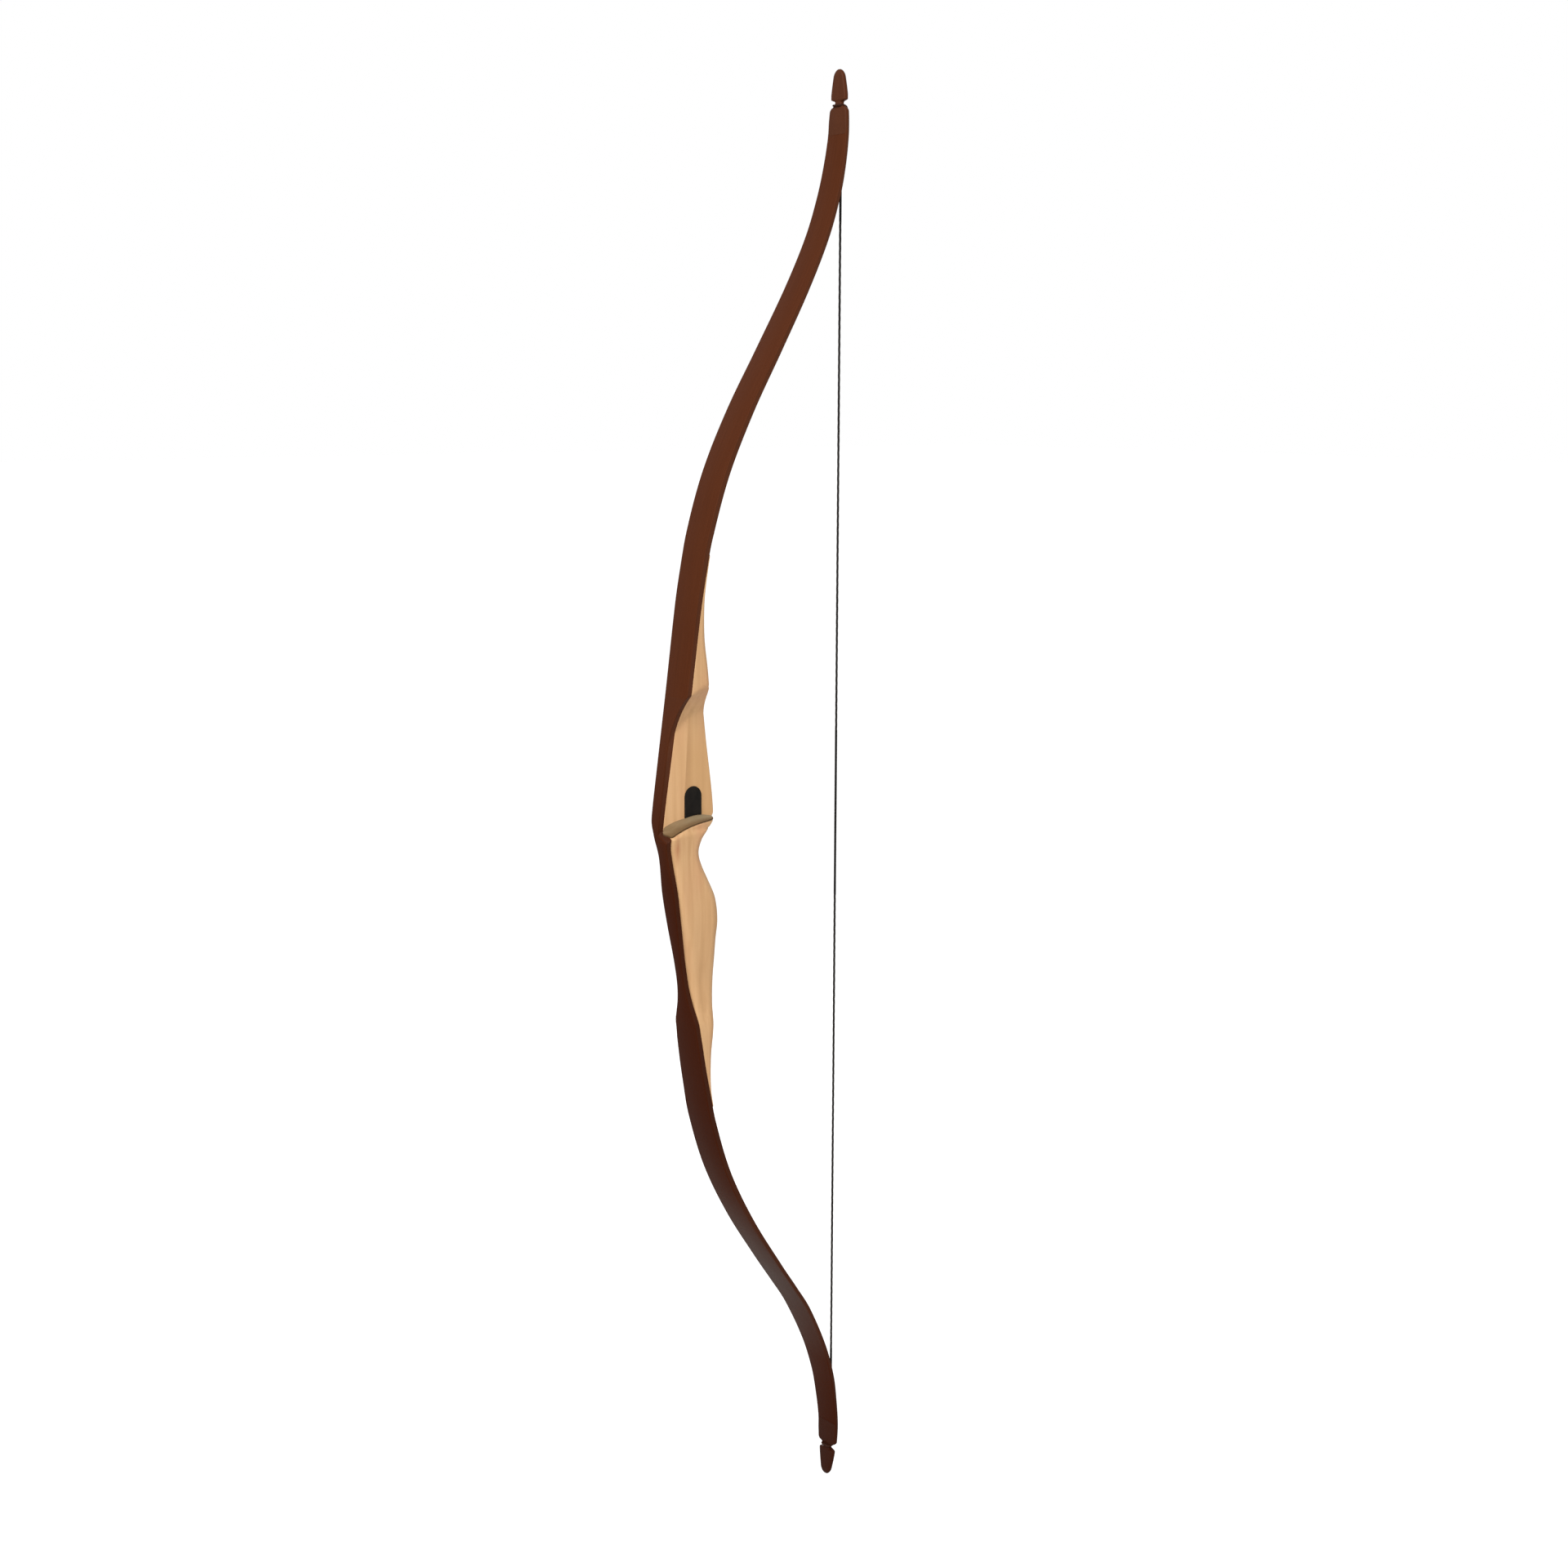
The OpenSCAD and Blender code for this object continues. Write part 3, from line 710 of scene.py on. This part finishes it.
# %% [markdown] ## Cutting the layers into pieces  A layer is one strip on the real bow. Here it
# is cut where the frame's bodies meet, in places where the strip on both sides moves with the
# same body: just beyond the riser's feather end, and half way between the two bending lines of
# each limb.

# %% Layer pieces
ROOT_END = 285.0
INNER_FLEX, OUTER_FLEX = 345.0, 480.0
MID_CUT = (INNER_FLEX + OUTER_FLEX) / 2
WINDOW_LOW, WINDOW_HIGH = -12, 175
DEPTH_STEPS = 5
LEAST_LAYER = 0.02


def layer_ring(layer, height):
    """A closed ring round one layer at one height, and the same ring as places along the bow."""
    low, high = layer_depths(layer, height)
    depths = [low + (high - low) * k / DEPTH_STEPS for k in range(DEPTH_STEPS + 1)]
    near = [(depth_x(height, d), -half_width_at(height, d), d) for d in depths]
    far = [(x, -y, d) for x, y, d in reversed(near)]
    if WINDOW_LOW < height < WINDOW_HIGH:
        near = [(x, max(y, float(window_y(x, height))), d) for x, y, d in near]
    ring = near + far
    return [(x, y, height) for x, y, d in ring], [(height, y, d) for x, y, d in ring]


def layer_piece(name, layer, heights):
    """One stretch of a layer. Heights below the middle are negative."""
    kept = [h for h in heights if np.ptp(layer_depths(layer, h)) > LEAST_LAYER]
    rings, places = zip(*(layer_ring(layer, h) for h in kept))
    return skin(name, rings, LAYERS[layer], np.reshape(places, (-1, 3)), sharp=math.radians(40))


RISER_HEIGHTS = (heights_between(-ROOT_END, -12, 3) + heights_between(-11, 30, 0.75)
                 + heights_between(33, 96, 3) + heights_between(98, 152, 1.2)
                 + heights_between(155, ROOT_END, 3))
INNER_HEIGHTS = heights_between(ROOT_END, MID_CUT, 3)
TIP_HEIGHTS = (heights_between(MID_CUT, NECK_LOW - 4, 3)
               + heights_between(NECK_LOW - 3.2, NECK_TOP + 2, 0.3)
               + heights_between(NECK_TOP + 3, TIP_END - NOSE, 1)
               + [TIP_END - NOSE * (1 - math.sin(math.radians(t))) for t in range(6, 91, 6)])
print("sections on the riser:", len(RISER_HEIGHTS))
print("sections on each limb:", len(INNER_HEIGHTS) + len(TIP_HEIGHTS))

# %% Riser layers
RISER_NODES = {"back_facing": "riser_back_glass", "core": "riser_limb_core",
               "belly_facing": "riser_belly_glass"}
for layer, node in RISER_NODES.items():
    piece = layer_piece(f"riser_{layer}", layer, RISER_HEIGHTS)
    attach(piece, "riser")
    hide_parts(node)
    print(piece.name, len(piece.data.polygons), "faces, stands for", node)

# %% [markdown]
# ## The limbs
#
# Both limbs are made in the same way, so one loop makes them. `flex_zone` works out two points
# on the limb, on either side of the bending line, as far apart as the seams allow; the limb pieces
# themselves are fixed in place.

# %% Limb layers
FLEX_REACH = 62.0


def flex_zone(flex, sign):
    """Where a bending zone starts and ends, in metres in the frame."""
    ends = []
    for height in (flex - FLEX_REACH, flex + FLEX_REACH):
        x = depth_x(sign * height, stack_thick(height) / 2)
        ends.append((x * MM, 0.0, (MIDDLE + sign * height) * MM))
    return ends


NODE_WORD = {"back_facing": "back_glass", "core": "core", "belly_facing": "belly_glass"}
for side, sign in (("upper", 1), ("lower", -1)):
    for layer, word in NODE_WORD.items():
        inner = layer_piece(f"{side}_inner_{layer}", layer, [sign * h for h in INNER_HEIGHTS])
        start, end = flex_zone(INNER_FLEX, sign)
        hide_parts(f"{side}_mid_{word}")
        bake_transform(inner)
        outer = layer_piece(f"{side}_outer_{layer}", layer, [sign * h for h in TIP_HEIGHTS])
        start, end = flex_zone(OUTER_FLEX, sign)
        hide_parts(f"{side}_tip_{word}")
        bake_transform(outer)
    overlaid = [sign * h for h in TIP_HEIGHTS if h > OVERLAY_START]
    overlay = layer_piece(f"{side}_overlay", "overlay", overlaid)
    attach(overlay, f"{side}_tip_limb")
    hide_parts(f"{side}_tip_overlay")
    print(side, "limb:", inner.name, outer.name, overlay.name)

# %% [markdown]
# ## The riser
#
# The wood is drawn section by section as well. Each section runs round the block in fixed
# steps: across the front, along the near side to the window's crease, on to the edge of the belly,
# round the belly, and back along the far side. Where the window cuts the block, the same steps
# follow the cut. Corners get a close pair of points, and one level of subdivision then turns
# them into the softly sanded edges of a finished riser.

# %% Wood sections
SUPPORT = 0.7
CORNER_SOFT, SOFT_DEPTH = 4.0, 9.0
FRONT_SHARE, BELLY_SHARE = 0.3, 0.62
LEAST_STEP, LEAST_FACE, THIN_BLOCK = 0.08, 1.0, 4.0
RING_STEPS = {"front": 6, "to the crease": 9, "wall": 14, "belly": 14, "far side": 26}


def wood_sizes(height):
    front = depth_x(height, stack_thick(height))
    belly = belly_x(height)
    back_half = outline_half_width(height)
    half = max(back_half + LEAST_STEP, LIMB_HALF_WIDTH * float(wood_share(height)))
    return front, belly, back_half, half


def wood_side(height):
    """Half width of the uncut wood as a function of x, from front to belly."""
    front, belly, back_half, half = wood_sizes(height)
    front_r = min((belly - front) * FRONT_SHARE, (half - back_half) * 1.5 + 0.05)
    belly_r = min(float(belly_round(height)), half - 1)
    belly_rx = min(belly_r, (belly - front) * BELLY_SHARE)

    def side(x):
        u = np.clip((front + front_r - x) / front_r, 0, 1)
        v = np.clip((x - belly + belly_rx) / belly_rx, 0, 1)
        return half - arc_drop(half - back_half, u) - arc_drop(belly_r, v)

    return side, belly_r, belly_rx


def run_along(line):
    """How far along a line each of its points lies."""
    return np.concatenate([[0], np.cumsum(np.linalg.norm(np.diff(line, axis=0), axis=1))])


def points_at(line, run, places):
    """The points of a line at some places along its run."""
    return np.column_stack([np.interp(places, run, part) for part in line.T])


def along(line, count):
    """Evenly spaced points along a line, with one more close to each end."""
    line = np.asarray(line, float)
    run = run_along(line)
    lead = min(SUPPORT, run[-1] / (count + 2))
    inner = np.linspace(0, run[-1], count - 2)[1:-1]
    return points_at(line, run, np.concatenate([[0, lead], inner, [run[-1] - lead, run[-1]]]))


def ease(low, high, count=120):
    """Places from low to high that crowd at both ends."""
    return low + (high - low) * (1 - np.cos(np.linspace(0, math.pi, count))) / 2


def soft_maximum(uncut, cut, behind_front):
    """The greater of two limits; where they cross, the corner is rounded, but not at the front face."""
    soft = CORNER_SOFT * np.clip(behind_front / SOFT_DEPTH, 0.02, 1)
    overlap = np.maximum(soft - np.abs(uncut - cut), 0)
    return np.maximum(uncut, cut) + overlap**2 / (4 * soft)


def wood_ring(height):
    front, belly, back_half, half = wood_sizes(height)
    side, belly_r, belly_rx = wood_side(height)
    edge_x = belly - EDGE_SHARE * EDGE_ROUND
    opened = edge_x > front and float(window_y(edge_x, height)) > -float(side(edge_x))
    corner_x = edge_x if opened else belly - belly_rx
    split = min(max(crease_x(height), front + LEAST_FACE), corner_x - LEAST_FACE)
    if corner_x - front < THIN_BLOCK:
        split = (front + corner_x) / 2
    front_y = max(-back_half, float(window_y(front, height)))

    def stretch(low, high):
        inside = ease(low, high)
        limit = soft_maximum(-side(inside), window_y(inside, height), inside - front)
        return np.column_stack([inside, limit])

    far_x = ease(belly, front)
    lines = [
        [(front, back_half), (front, front_y)],
        stretch(front, split),
        stretch(split, corner_x),
        np.vstack([stretch(corner_x, belly), [(belly, half - belly_r)]]),
        np.column_stack([far_x, side(far_x)])]
    parts = [along(line, count) for line, count in zip(lines, RING_STEPS.values())]
    flat = np.vstack([part[:-1] for part in parts])
    return np.column_stack([flat, np.full(len(flat), height)])


WOOD_HEIGHTS = (heights_between(-WOOD_END, -16, 4.5) + heights_between(-13, 30, 1.25)
                + heights_between(34, 94, 5) + heights_between(98, 152, 1.8)
                + heights_between(156, WOOD_END, 4.5))
riser = skin("riser_wood", [wood_ring(h) for h in WOOD_HEIGHTS], "riser_wood", sharp=math.pi)
refine = riser.modifiers.new("sanded", "SUBSURF")
refine.levels = refine.render_levels = 1
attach(riser, "riser")
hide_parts("riser_block")
print("riser:", len(riser.data.polygons), "faces before it is refined")

# %% [markdown]
# ## The shelf and the side plate
#
# The suede lies on the crowned shelf like a saddle cloth: its top and underside are the same curve
# at two radii, its inner edge follows the wall and its outer edge is cut in an easy curve. The plate
# is an arch with a softly rounded rim, drawn as a stack of outlines that shrink towards the face.

# %% Shelf suede
PAD_CELLS_X, PAD_CELLS_Y = 44, 14
PAD_BACK, PAD_FRONT = 20.2, -35.4
FRONT_LEAN, FRONT_BOW = 1.2, 15.0
RIM_ROUND = 0.35
WALL_GAP = 0.1


def shelf_height(x, y, radius):
    """Height of the crowned shelf over a point."""
    return SHELF_HEIGHT - shelf_drop(x, radius) + (y - WALL) * math.tan(SHELF_FALL)


def pad_wall_y(x):
    """The wall that the pad's inner edge follows, with a hair of space."""
    return WALL - WALL_GAP + max(0.0, crease_x(SHELF_HEIGHT) - x) * math.tan(BEVEL)


def pad_point(along_shelf, across_shelf):
    """A point of the pad's area; both shares run from 0 to 1, front to back and wall to edge."""
    front = PAD_FRONT - FRONT_LEAN * across_shelf - FRONT_BOW * across_shelf * (1 - across_shelf)
    x = front + (PAD_BACK - front) * along_shelf
    inner, outer = pad_wall_y(x), -float(pad_edge(x))
    return x, inner + (outer - inner) * across_shelf


def on_shelf(area, radius):
    """The pad's area, laid over the crown at a radius."""
    return [(x, y, float(shelf_height(x, y, radius))) for x, y in area]


def shelf_pad():
    area = [pad_point(u, v) for v in np.linspace(0, 1, PAD_CELLS_Y + 1)
            for u in ease(0.0, 1.0, PAD_CELLS_X + 1)]
    points = np.array(on_shelf(area, SHELF_R) + on_shelf(area, SHELF_R - PAD_THICK))
    wide = PAD_CELLS_X + 1
    count = wide * (PAD_CELLS_Y + 1)
    faces = []
    for j in range(PAD_CELLS_Y):
        for i in range(PAD_CELLS_X):
            a = j * wide + i
            faces.append([a, a + 1, a + wide + 1, a + wide])
            faces.append([count + a, count + a + wide, count + a + wide + 1, count + a + 1])
    rim = (list(range(wide)) + [j * wide + wide - 1 for j in range(1, PAD_CELLS_Y + 1)]
           + [PAD_CELLS_Y * wide + i for i in range(wide - 2, -1, -1)]
           + [j * wide for j in range(PAD_CELLS_Y - 1, 0, -1)])
    for a, b in zip(rim, rim[1:] + rim[:1]):
        faces.append([a, b, b + count, a + count])
    shares = np.tile(np.repeat(np.linspace(0, PAD_SHARES, PAD_CELLS_Y + 1), wide), 2)
    places = np.column_stack([points[:, 0], shares, np.repeat([0.0, PAD_THICK], count)])
    return make_piece("shelf_suede", points, faces, "shelf_suede", places)


pad = shelf_pad()
soft_rim = pad.modifiers.new("rim", "BEVEL")
soft_rim.width = RIM_ROUND * MM
soft_rim.segments = 2
soft_rim.limit_method = "ANGLE"
soft_rim.angle_limit = math.radians(50)
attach(pad, "riser")
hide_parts("shelf_pad")
print("pad, mm:", [round(1000 * d, 1) for d in pad.dimensions])

# %% Side plate
PLATE_WIDE, PLATE_TALL = 20.8, 29.0
PLATE_THICK, PLATE_GAP = 1.2, 0.15
PLATE_FRONT, PLATE_BASE = BRACE - 200.6, SHELF_HEIGHT + 0.7
PLATE_X = PLATE_FRONT + PLATE_WIDE / 2
PLATE_TOP = PLATE_BASE + PLATE_TALL
PLATE_RIM = ((0.0, 0.0), (0.0, 0.55), (0.08, 0.85), (0.28, 1.07), (0.6, 1.16), (1.4, PLATE_THICK))


def plate_foot(x, inset):
    """The plate is cut to the curve of the pad that it stands on."""
    return float(shelf_height(PLATE_X + x, WALL, SHELF_R)) + PLATE_GAP + inset


def plate_outline(inset):
    """The arch, drawn in from its rim by the inset."""
    half = PLATE_WIDE / 2 - inset
    centre = PLATE_TOP - PLATE_WIDE / 2
    turns = [math.radians(t) for t in range(0, 181, 5)]
    arch = [(half * math.cos(t), centre + half * math.sin(t)) for t in turns]
    left = [(-half, z) for z in np.linspace(centre, plate_foot(-half, inset), 8)[1:]]
    low = [(x, plate_foot(x, inset)) for x in np.linspace(-half, half, 10)[1:]]
    right_side = [(half, z) for z in np.linspace(plate_foot(half, inset), centre, 8)[1:-1]]
    return arch + left + low + right_side


rings = []
for inset, out in PLATE_RIM:
    rings.append([(PLATE_X + x, WALL - out, z) for x, z in plate_outline(inset)])
plate = skin("side_plate_face", rings, "black_plate")
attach(plate, "riser")
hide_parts("side_plate")
print("plate, mm:", [round(1000 * d, 1) for d in plate.dimensions])

# %% [markdown]
# ## The string
#
# A bowstring is a bundle of waxed strands, laid with a slow twist and wound with thread where
# fingers, arrow and nocks rub it. `cord_skin` sweeps a section along any route. The section turns
# as it goes, so a lobed one gives the twist of the bundle, and one with a single raised side
# gives the ridges of a winding.

# %% Cord sections
def cord_skin(name, route, radius, finish, lobes, lift, pitch, sides, widen=None):
    """A cord along a route of points, whose section is lobed and turns once in every pitch."""
    route = np.asarray(route, float)
    run = run_along(route)
    ways = np.gradient(route, axis=0)
    ways /= np.linalg.norm(ways, axis=1)[:, None]
    normal = np.cross(ways[0], (0.0, 1.0, 0.0))
    normal /= np.linalg.norm(normal)
    rings, places = [], []
    for k, (centre, way) in enumerate(zip(route, ways)):
        normal = normal - way * (normal @ way)
        normal /= np.linalg.norm(normal)
        other = np.cross(way, normal)
        grow = widen(run[k]) if widen else (1.0, 1.0)
        ring = []
        for j in range(sides):
            angle = 2 * math.pi * j / sides
            wave = math.cos(lobes * (angle - 2 * math.pi * run[k] / pitch))
            r = radius * (1 - lift) + radius * lift * wave
            spoke = grow[0] * math.cos(angle) * normal + grow[1] * math.sin(angle) * other
            ring.append(centre + r * spoke)
            places.append((run[k], angle, 0.0))
        rings.append(ring)
    return skin(name, rings, finish, places, sharp=math.radians(80))


def upright(low, high, step, sign):
    """A straight route beside the bow, on the string's own line."""
    return [(BRACE, 0.0, sign * h) for h in heights_between(low, high, step)]


print("straight route:", len(upright(0, 100, 1, 1)), "points")

# %% [markdown]
# ## The loops
#
# Each end of the string opens into a loop. It comes up behind the tip, passes through the nock on
# both sides and crosses the back of the neck. The route is the frame's own, in a few given points,
# and a curve runs through them. The tips differ a little, so the route shifts with the back
# line. When the bow is drawn the string swings away from the tip but the loop stays in its nock;
# here the loop is a single piece fixed in place.

# %% Strands, servings and loops
STRING_R, SERVING_R, LOOP_R = 1.25, 1.32, 1.05
SERVING_HALF, END_SERVING, LAP = 88.0, 60.0, 4.0
SPLICE, SPLICE_SPREAD = -54.0, 16.0
THREAD = 0.62
LOOP_BACK, LOOP_RISE = 5.4, 47.0
FINE_STEPS = 24
HALF_LOOP = [
    (0, 1.15, SPLICE), (0, 1.7, SPLICE + 12), (0.2, 3.2, SPLICE + 26), (0.5, 5.0, SPLICE + 40),
    (0.6, 6.1, -7), (0.3, 6.3, -4.4), (-0.9, 6.3, -3.0), (-2.8, 6.1, -2.3), (-5.0, 6.0, -2.1),
    (-6.8, 5.6, -2.1), (-7.8, 4.0, -2.2), (-8.0, 0, -2.2)]


def even_curve(points, step):
    """A smooth line through points, cut into equal steps."""
    points = np.asarray(points, float)
    padded = np.vstack([2 * points[0] - points[1], points, 2 * points[-1] - points[-2]])
    fine = []
    for i in range(1, len(padded) - 2):
        a, b, c, d = padded[i - 1:i + 3]
        for u in np.linspace(0, 1, FINE_STEPS, endpoint=False):
            fine.append(0.5 * (2 * b + (c - a) * u + (2 * a - 5 * b + 4 * c - d) * u**2
                               + (3 * b - a - 3 * c + d) * u**3))
    fine = np.vstack([fine, points[-1]])
    run = run_along(fine)
    return points_at(fine, run, np.linspace(0, run[-1], round(run[-1] / step) + 1))


def splice_cover(run):
    """The winding is wide where it covers both legs of the loop, then round."""
    swell = 1 - eased(share_between(run, 0, SPLICE_SPREAD))
    return 1.0, 1.0 + 0.5 * swell


def rounded_end(run):
    """Closes the end of a winding to a dome at the middle of the string."""
    u = min(1.0, run / SERVING_R)
    close = math.sqrt(max(0.02, 1 - (1 - u) ** 2))
    return close, close


for side, sign in (("upper", 1), ("lower", -1)):
    body = f"{side}_half_string"
    splice = NOCK + SPLICE
    bare = upright(SERVING_HALF - LAP, splice - END_SERVING + LAP, 2.0, sign)
    strands = cord_skin(f"{side}_strands", bare, STRING_R, "string_strands",
                        lobes=3, lift=0.08, pitch=26.0, sides=15)
    middle = upright(-SERVING_R, 0, 0.15, sign)[:-1] + upright(0, SERVING_HALF, THREAD / 4, sign)
    centre = cord_skin(f"{side}_centre_winding", middle, SERVING_R, "serving_thread",
                       lobes=1, lift=0.035, pitch=THREAD, sides=10, widen=rounded_end)
    covered = upright(splice - END_SERVING, splice, THREAD / 4, sign)[::-1]
    end = cord_skin(f"{side}_end_winding", covered, SERVING_R, "serving_thread",
                    lobes=1, lift=0.035, pitch=THREAD, sides=12, widen=splice_cover)
    whole = HALF_LOOP + [(x, -y, z) for x, y, z in reversed(HALF_LOOP[:-1])]
    route = even_curve(whole, THREAD / 4)
    risen = np.clip((route[:, 2] - SPLICE) / LOOP_RISE, 0, 1)
    route[:, 0] += (LOOP_BACK - float(back_line(sign * NOCK))) * risen
    route = route * (1, 1, sign) + (BRACE, 0, sign * NOCK)
    loop = cord_skin(f"{side}_string_loop", route, LOOP_R, "loop_thread",
                     lobes=1, lift=0.04, pitch=THREAD, sides=10)
    for piece, node in ((strands, "string"), (centre, "centre_serving"), (end, "end_serving")):
        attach(piece, body)
        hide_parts(f"{side}_{node}")
    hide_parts(f"{side}_loop")
    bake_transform(loop)
    print(side, "string faces:", sum(len(p.data.polygons) for p in (strands, centre, end, loop)))

# %% [markdown] ## Floor, sky and lamps  The photograph is a cut-out on white, so the world is
# plain white where the camera looks at it, and a softer grey where it only lights the bow. Large
# soft lamps give the form: a strong one high in front, and two weak ones, from the window's side
# and from behind. A pale floor below keeps the shadow.

# %% Stage and lamps
FLOOR_DROP = 0.25
FLOOR_HALF = 40.0
FLOOR_PAINT = (0.56, 0.55, 0.53, 1)
FLOOR_GLOW, GLOW_STRENGTH = 0.6, 1.6
WORLD_LEVEL = 0.62


def white_world():
    world = bpy.data.worlds.new("studio")
    world.use_nodes = True
    tree = world.node_tree
    tree.nodes.clear()
    seen = add_node(tree, "ShaderNodeLightPath", output="Is Camera Ray")
    level = WORLD_LEVEL + seen * (1 - WORLD_LEVEL)
    back = add_node(tree, "ShaderNodeBackground", None, {"Color": (1, 1, 1, 1), "Strength": level})
    add_node(tree, "ShaderNodeOutputWorld", None, {"Surface": back})
    bpy.context.scene.world = world


def floor():
    f = Finish("floor")
    seen = f.node("ShaderNodeLightPath", output="Is Camera Ray")
    paint = f.node("ShaderNodeBsdfDiffuse", None, {"Color": FLOOR_PAINT})
    glow = f.node("ShaderNodeEmission", None, {"Color": (1, 1, 1, 1), "Strength": GLOW_STRENGTH})
    f.node("ShaderNodeOutputMaterial", None,
           {"Surface": f.node("ShaderNodeMixShader", None, {0: seen * FLOOR_GLOW, 1: paint, 2: glow})})
    drop = cad_low.z - FLOOR_DROP
    corners = [(x * FLOOR_HALF, y * FLOOR_HALF, drop) for x, y in ((-1, -1), (1, -1), (1, 1), (-1, 1))]
    mesh = bpy.data.meshes.new("floor")
    mesh.from_pydata(corners, [], [[0, 1, 2, 3]])
    mesh.materials.append(f.material)
    ground = bpy.data.objects.new("floor", mesh)
    bpy.context.scene.collection.objects.link(ground)
    ground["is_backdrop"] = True


def lamp(name, place, aim, size, watts):
    data = bpy.data.lights.new(name, "AREA")
    data.shape = "DISK"
    data.size = size
    data.energy = watts
    light = bpy.data.objects.new(name, data)
    light.location = place
    light.rotation_euler = (Vector(aim) - Vector(place)).to_track_quat("-Z", "Y").to_euler()
    bpy.context.scene.collection.objects.link(light)


white_world()
floor()
lamp("key", (-2.6, -1.4, 2.6), (0.05, 0, 0.1), 1.8, 90)
lamp("side", (-0.4, -3.2, 0.8), (0.05, 0, 0.0), 2.0, 24)
lamp("fill", (1.6, 2.4, 0.2), (0.05, 0, 0.0), 2.0, 30)
bpy.context.scene.view_settings.view_transform = "Standard"

# %% [markdown]
# ## Last look
#
# At the end the scene's box is measured again and written beside the frame's, so that anyone can
# see how little the two differ.

# %% Measure and finish
made_low, made_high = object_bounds()
for axis, *ends in zip("xyz", cad_low, cad_high, made_low, made_high):
    print(axis, "of frame and visual box, mm:", [round(1000 * end, 1) for end in ends])
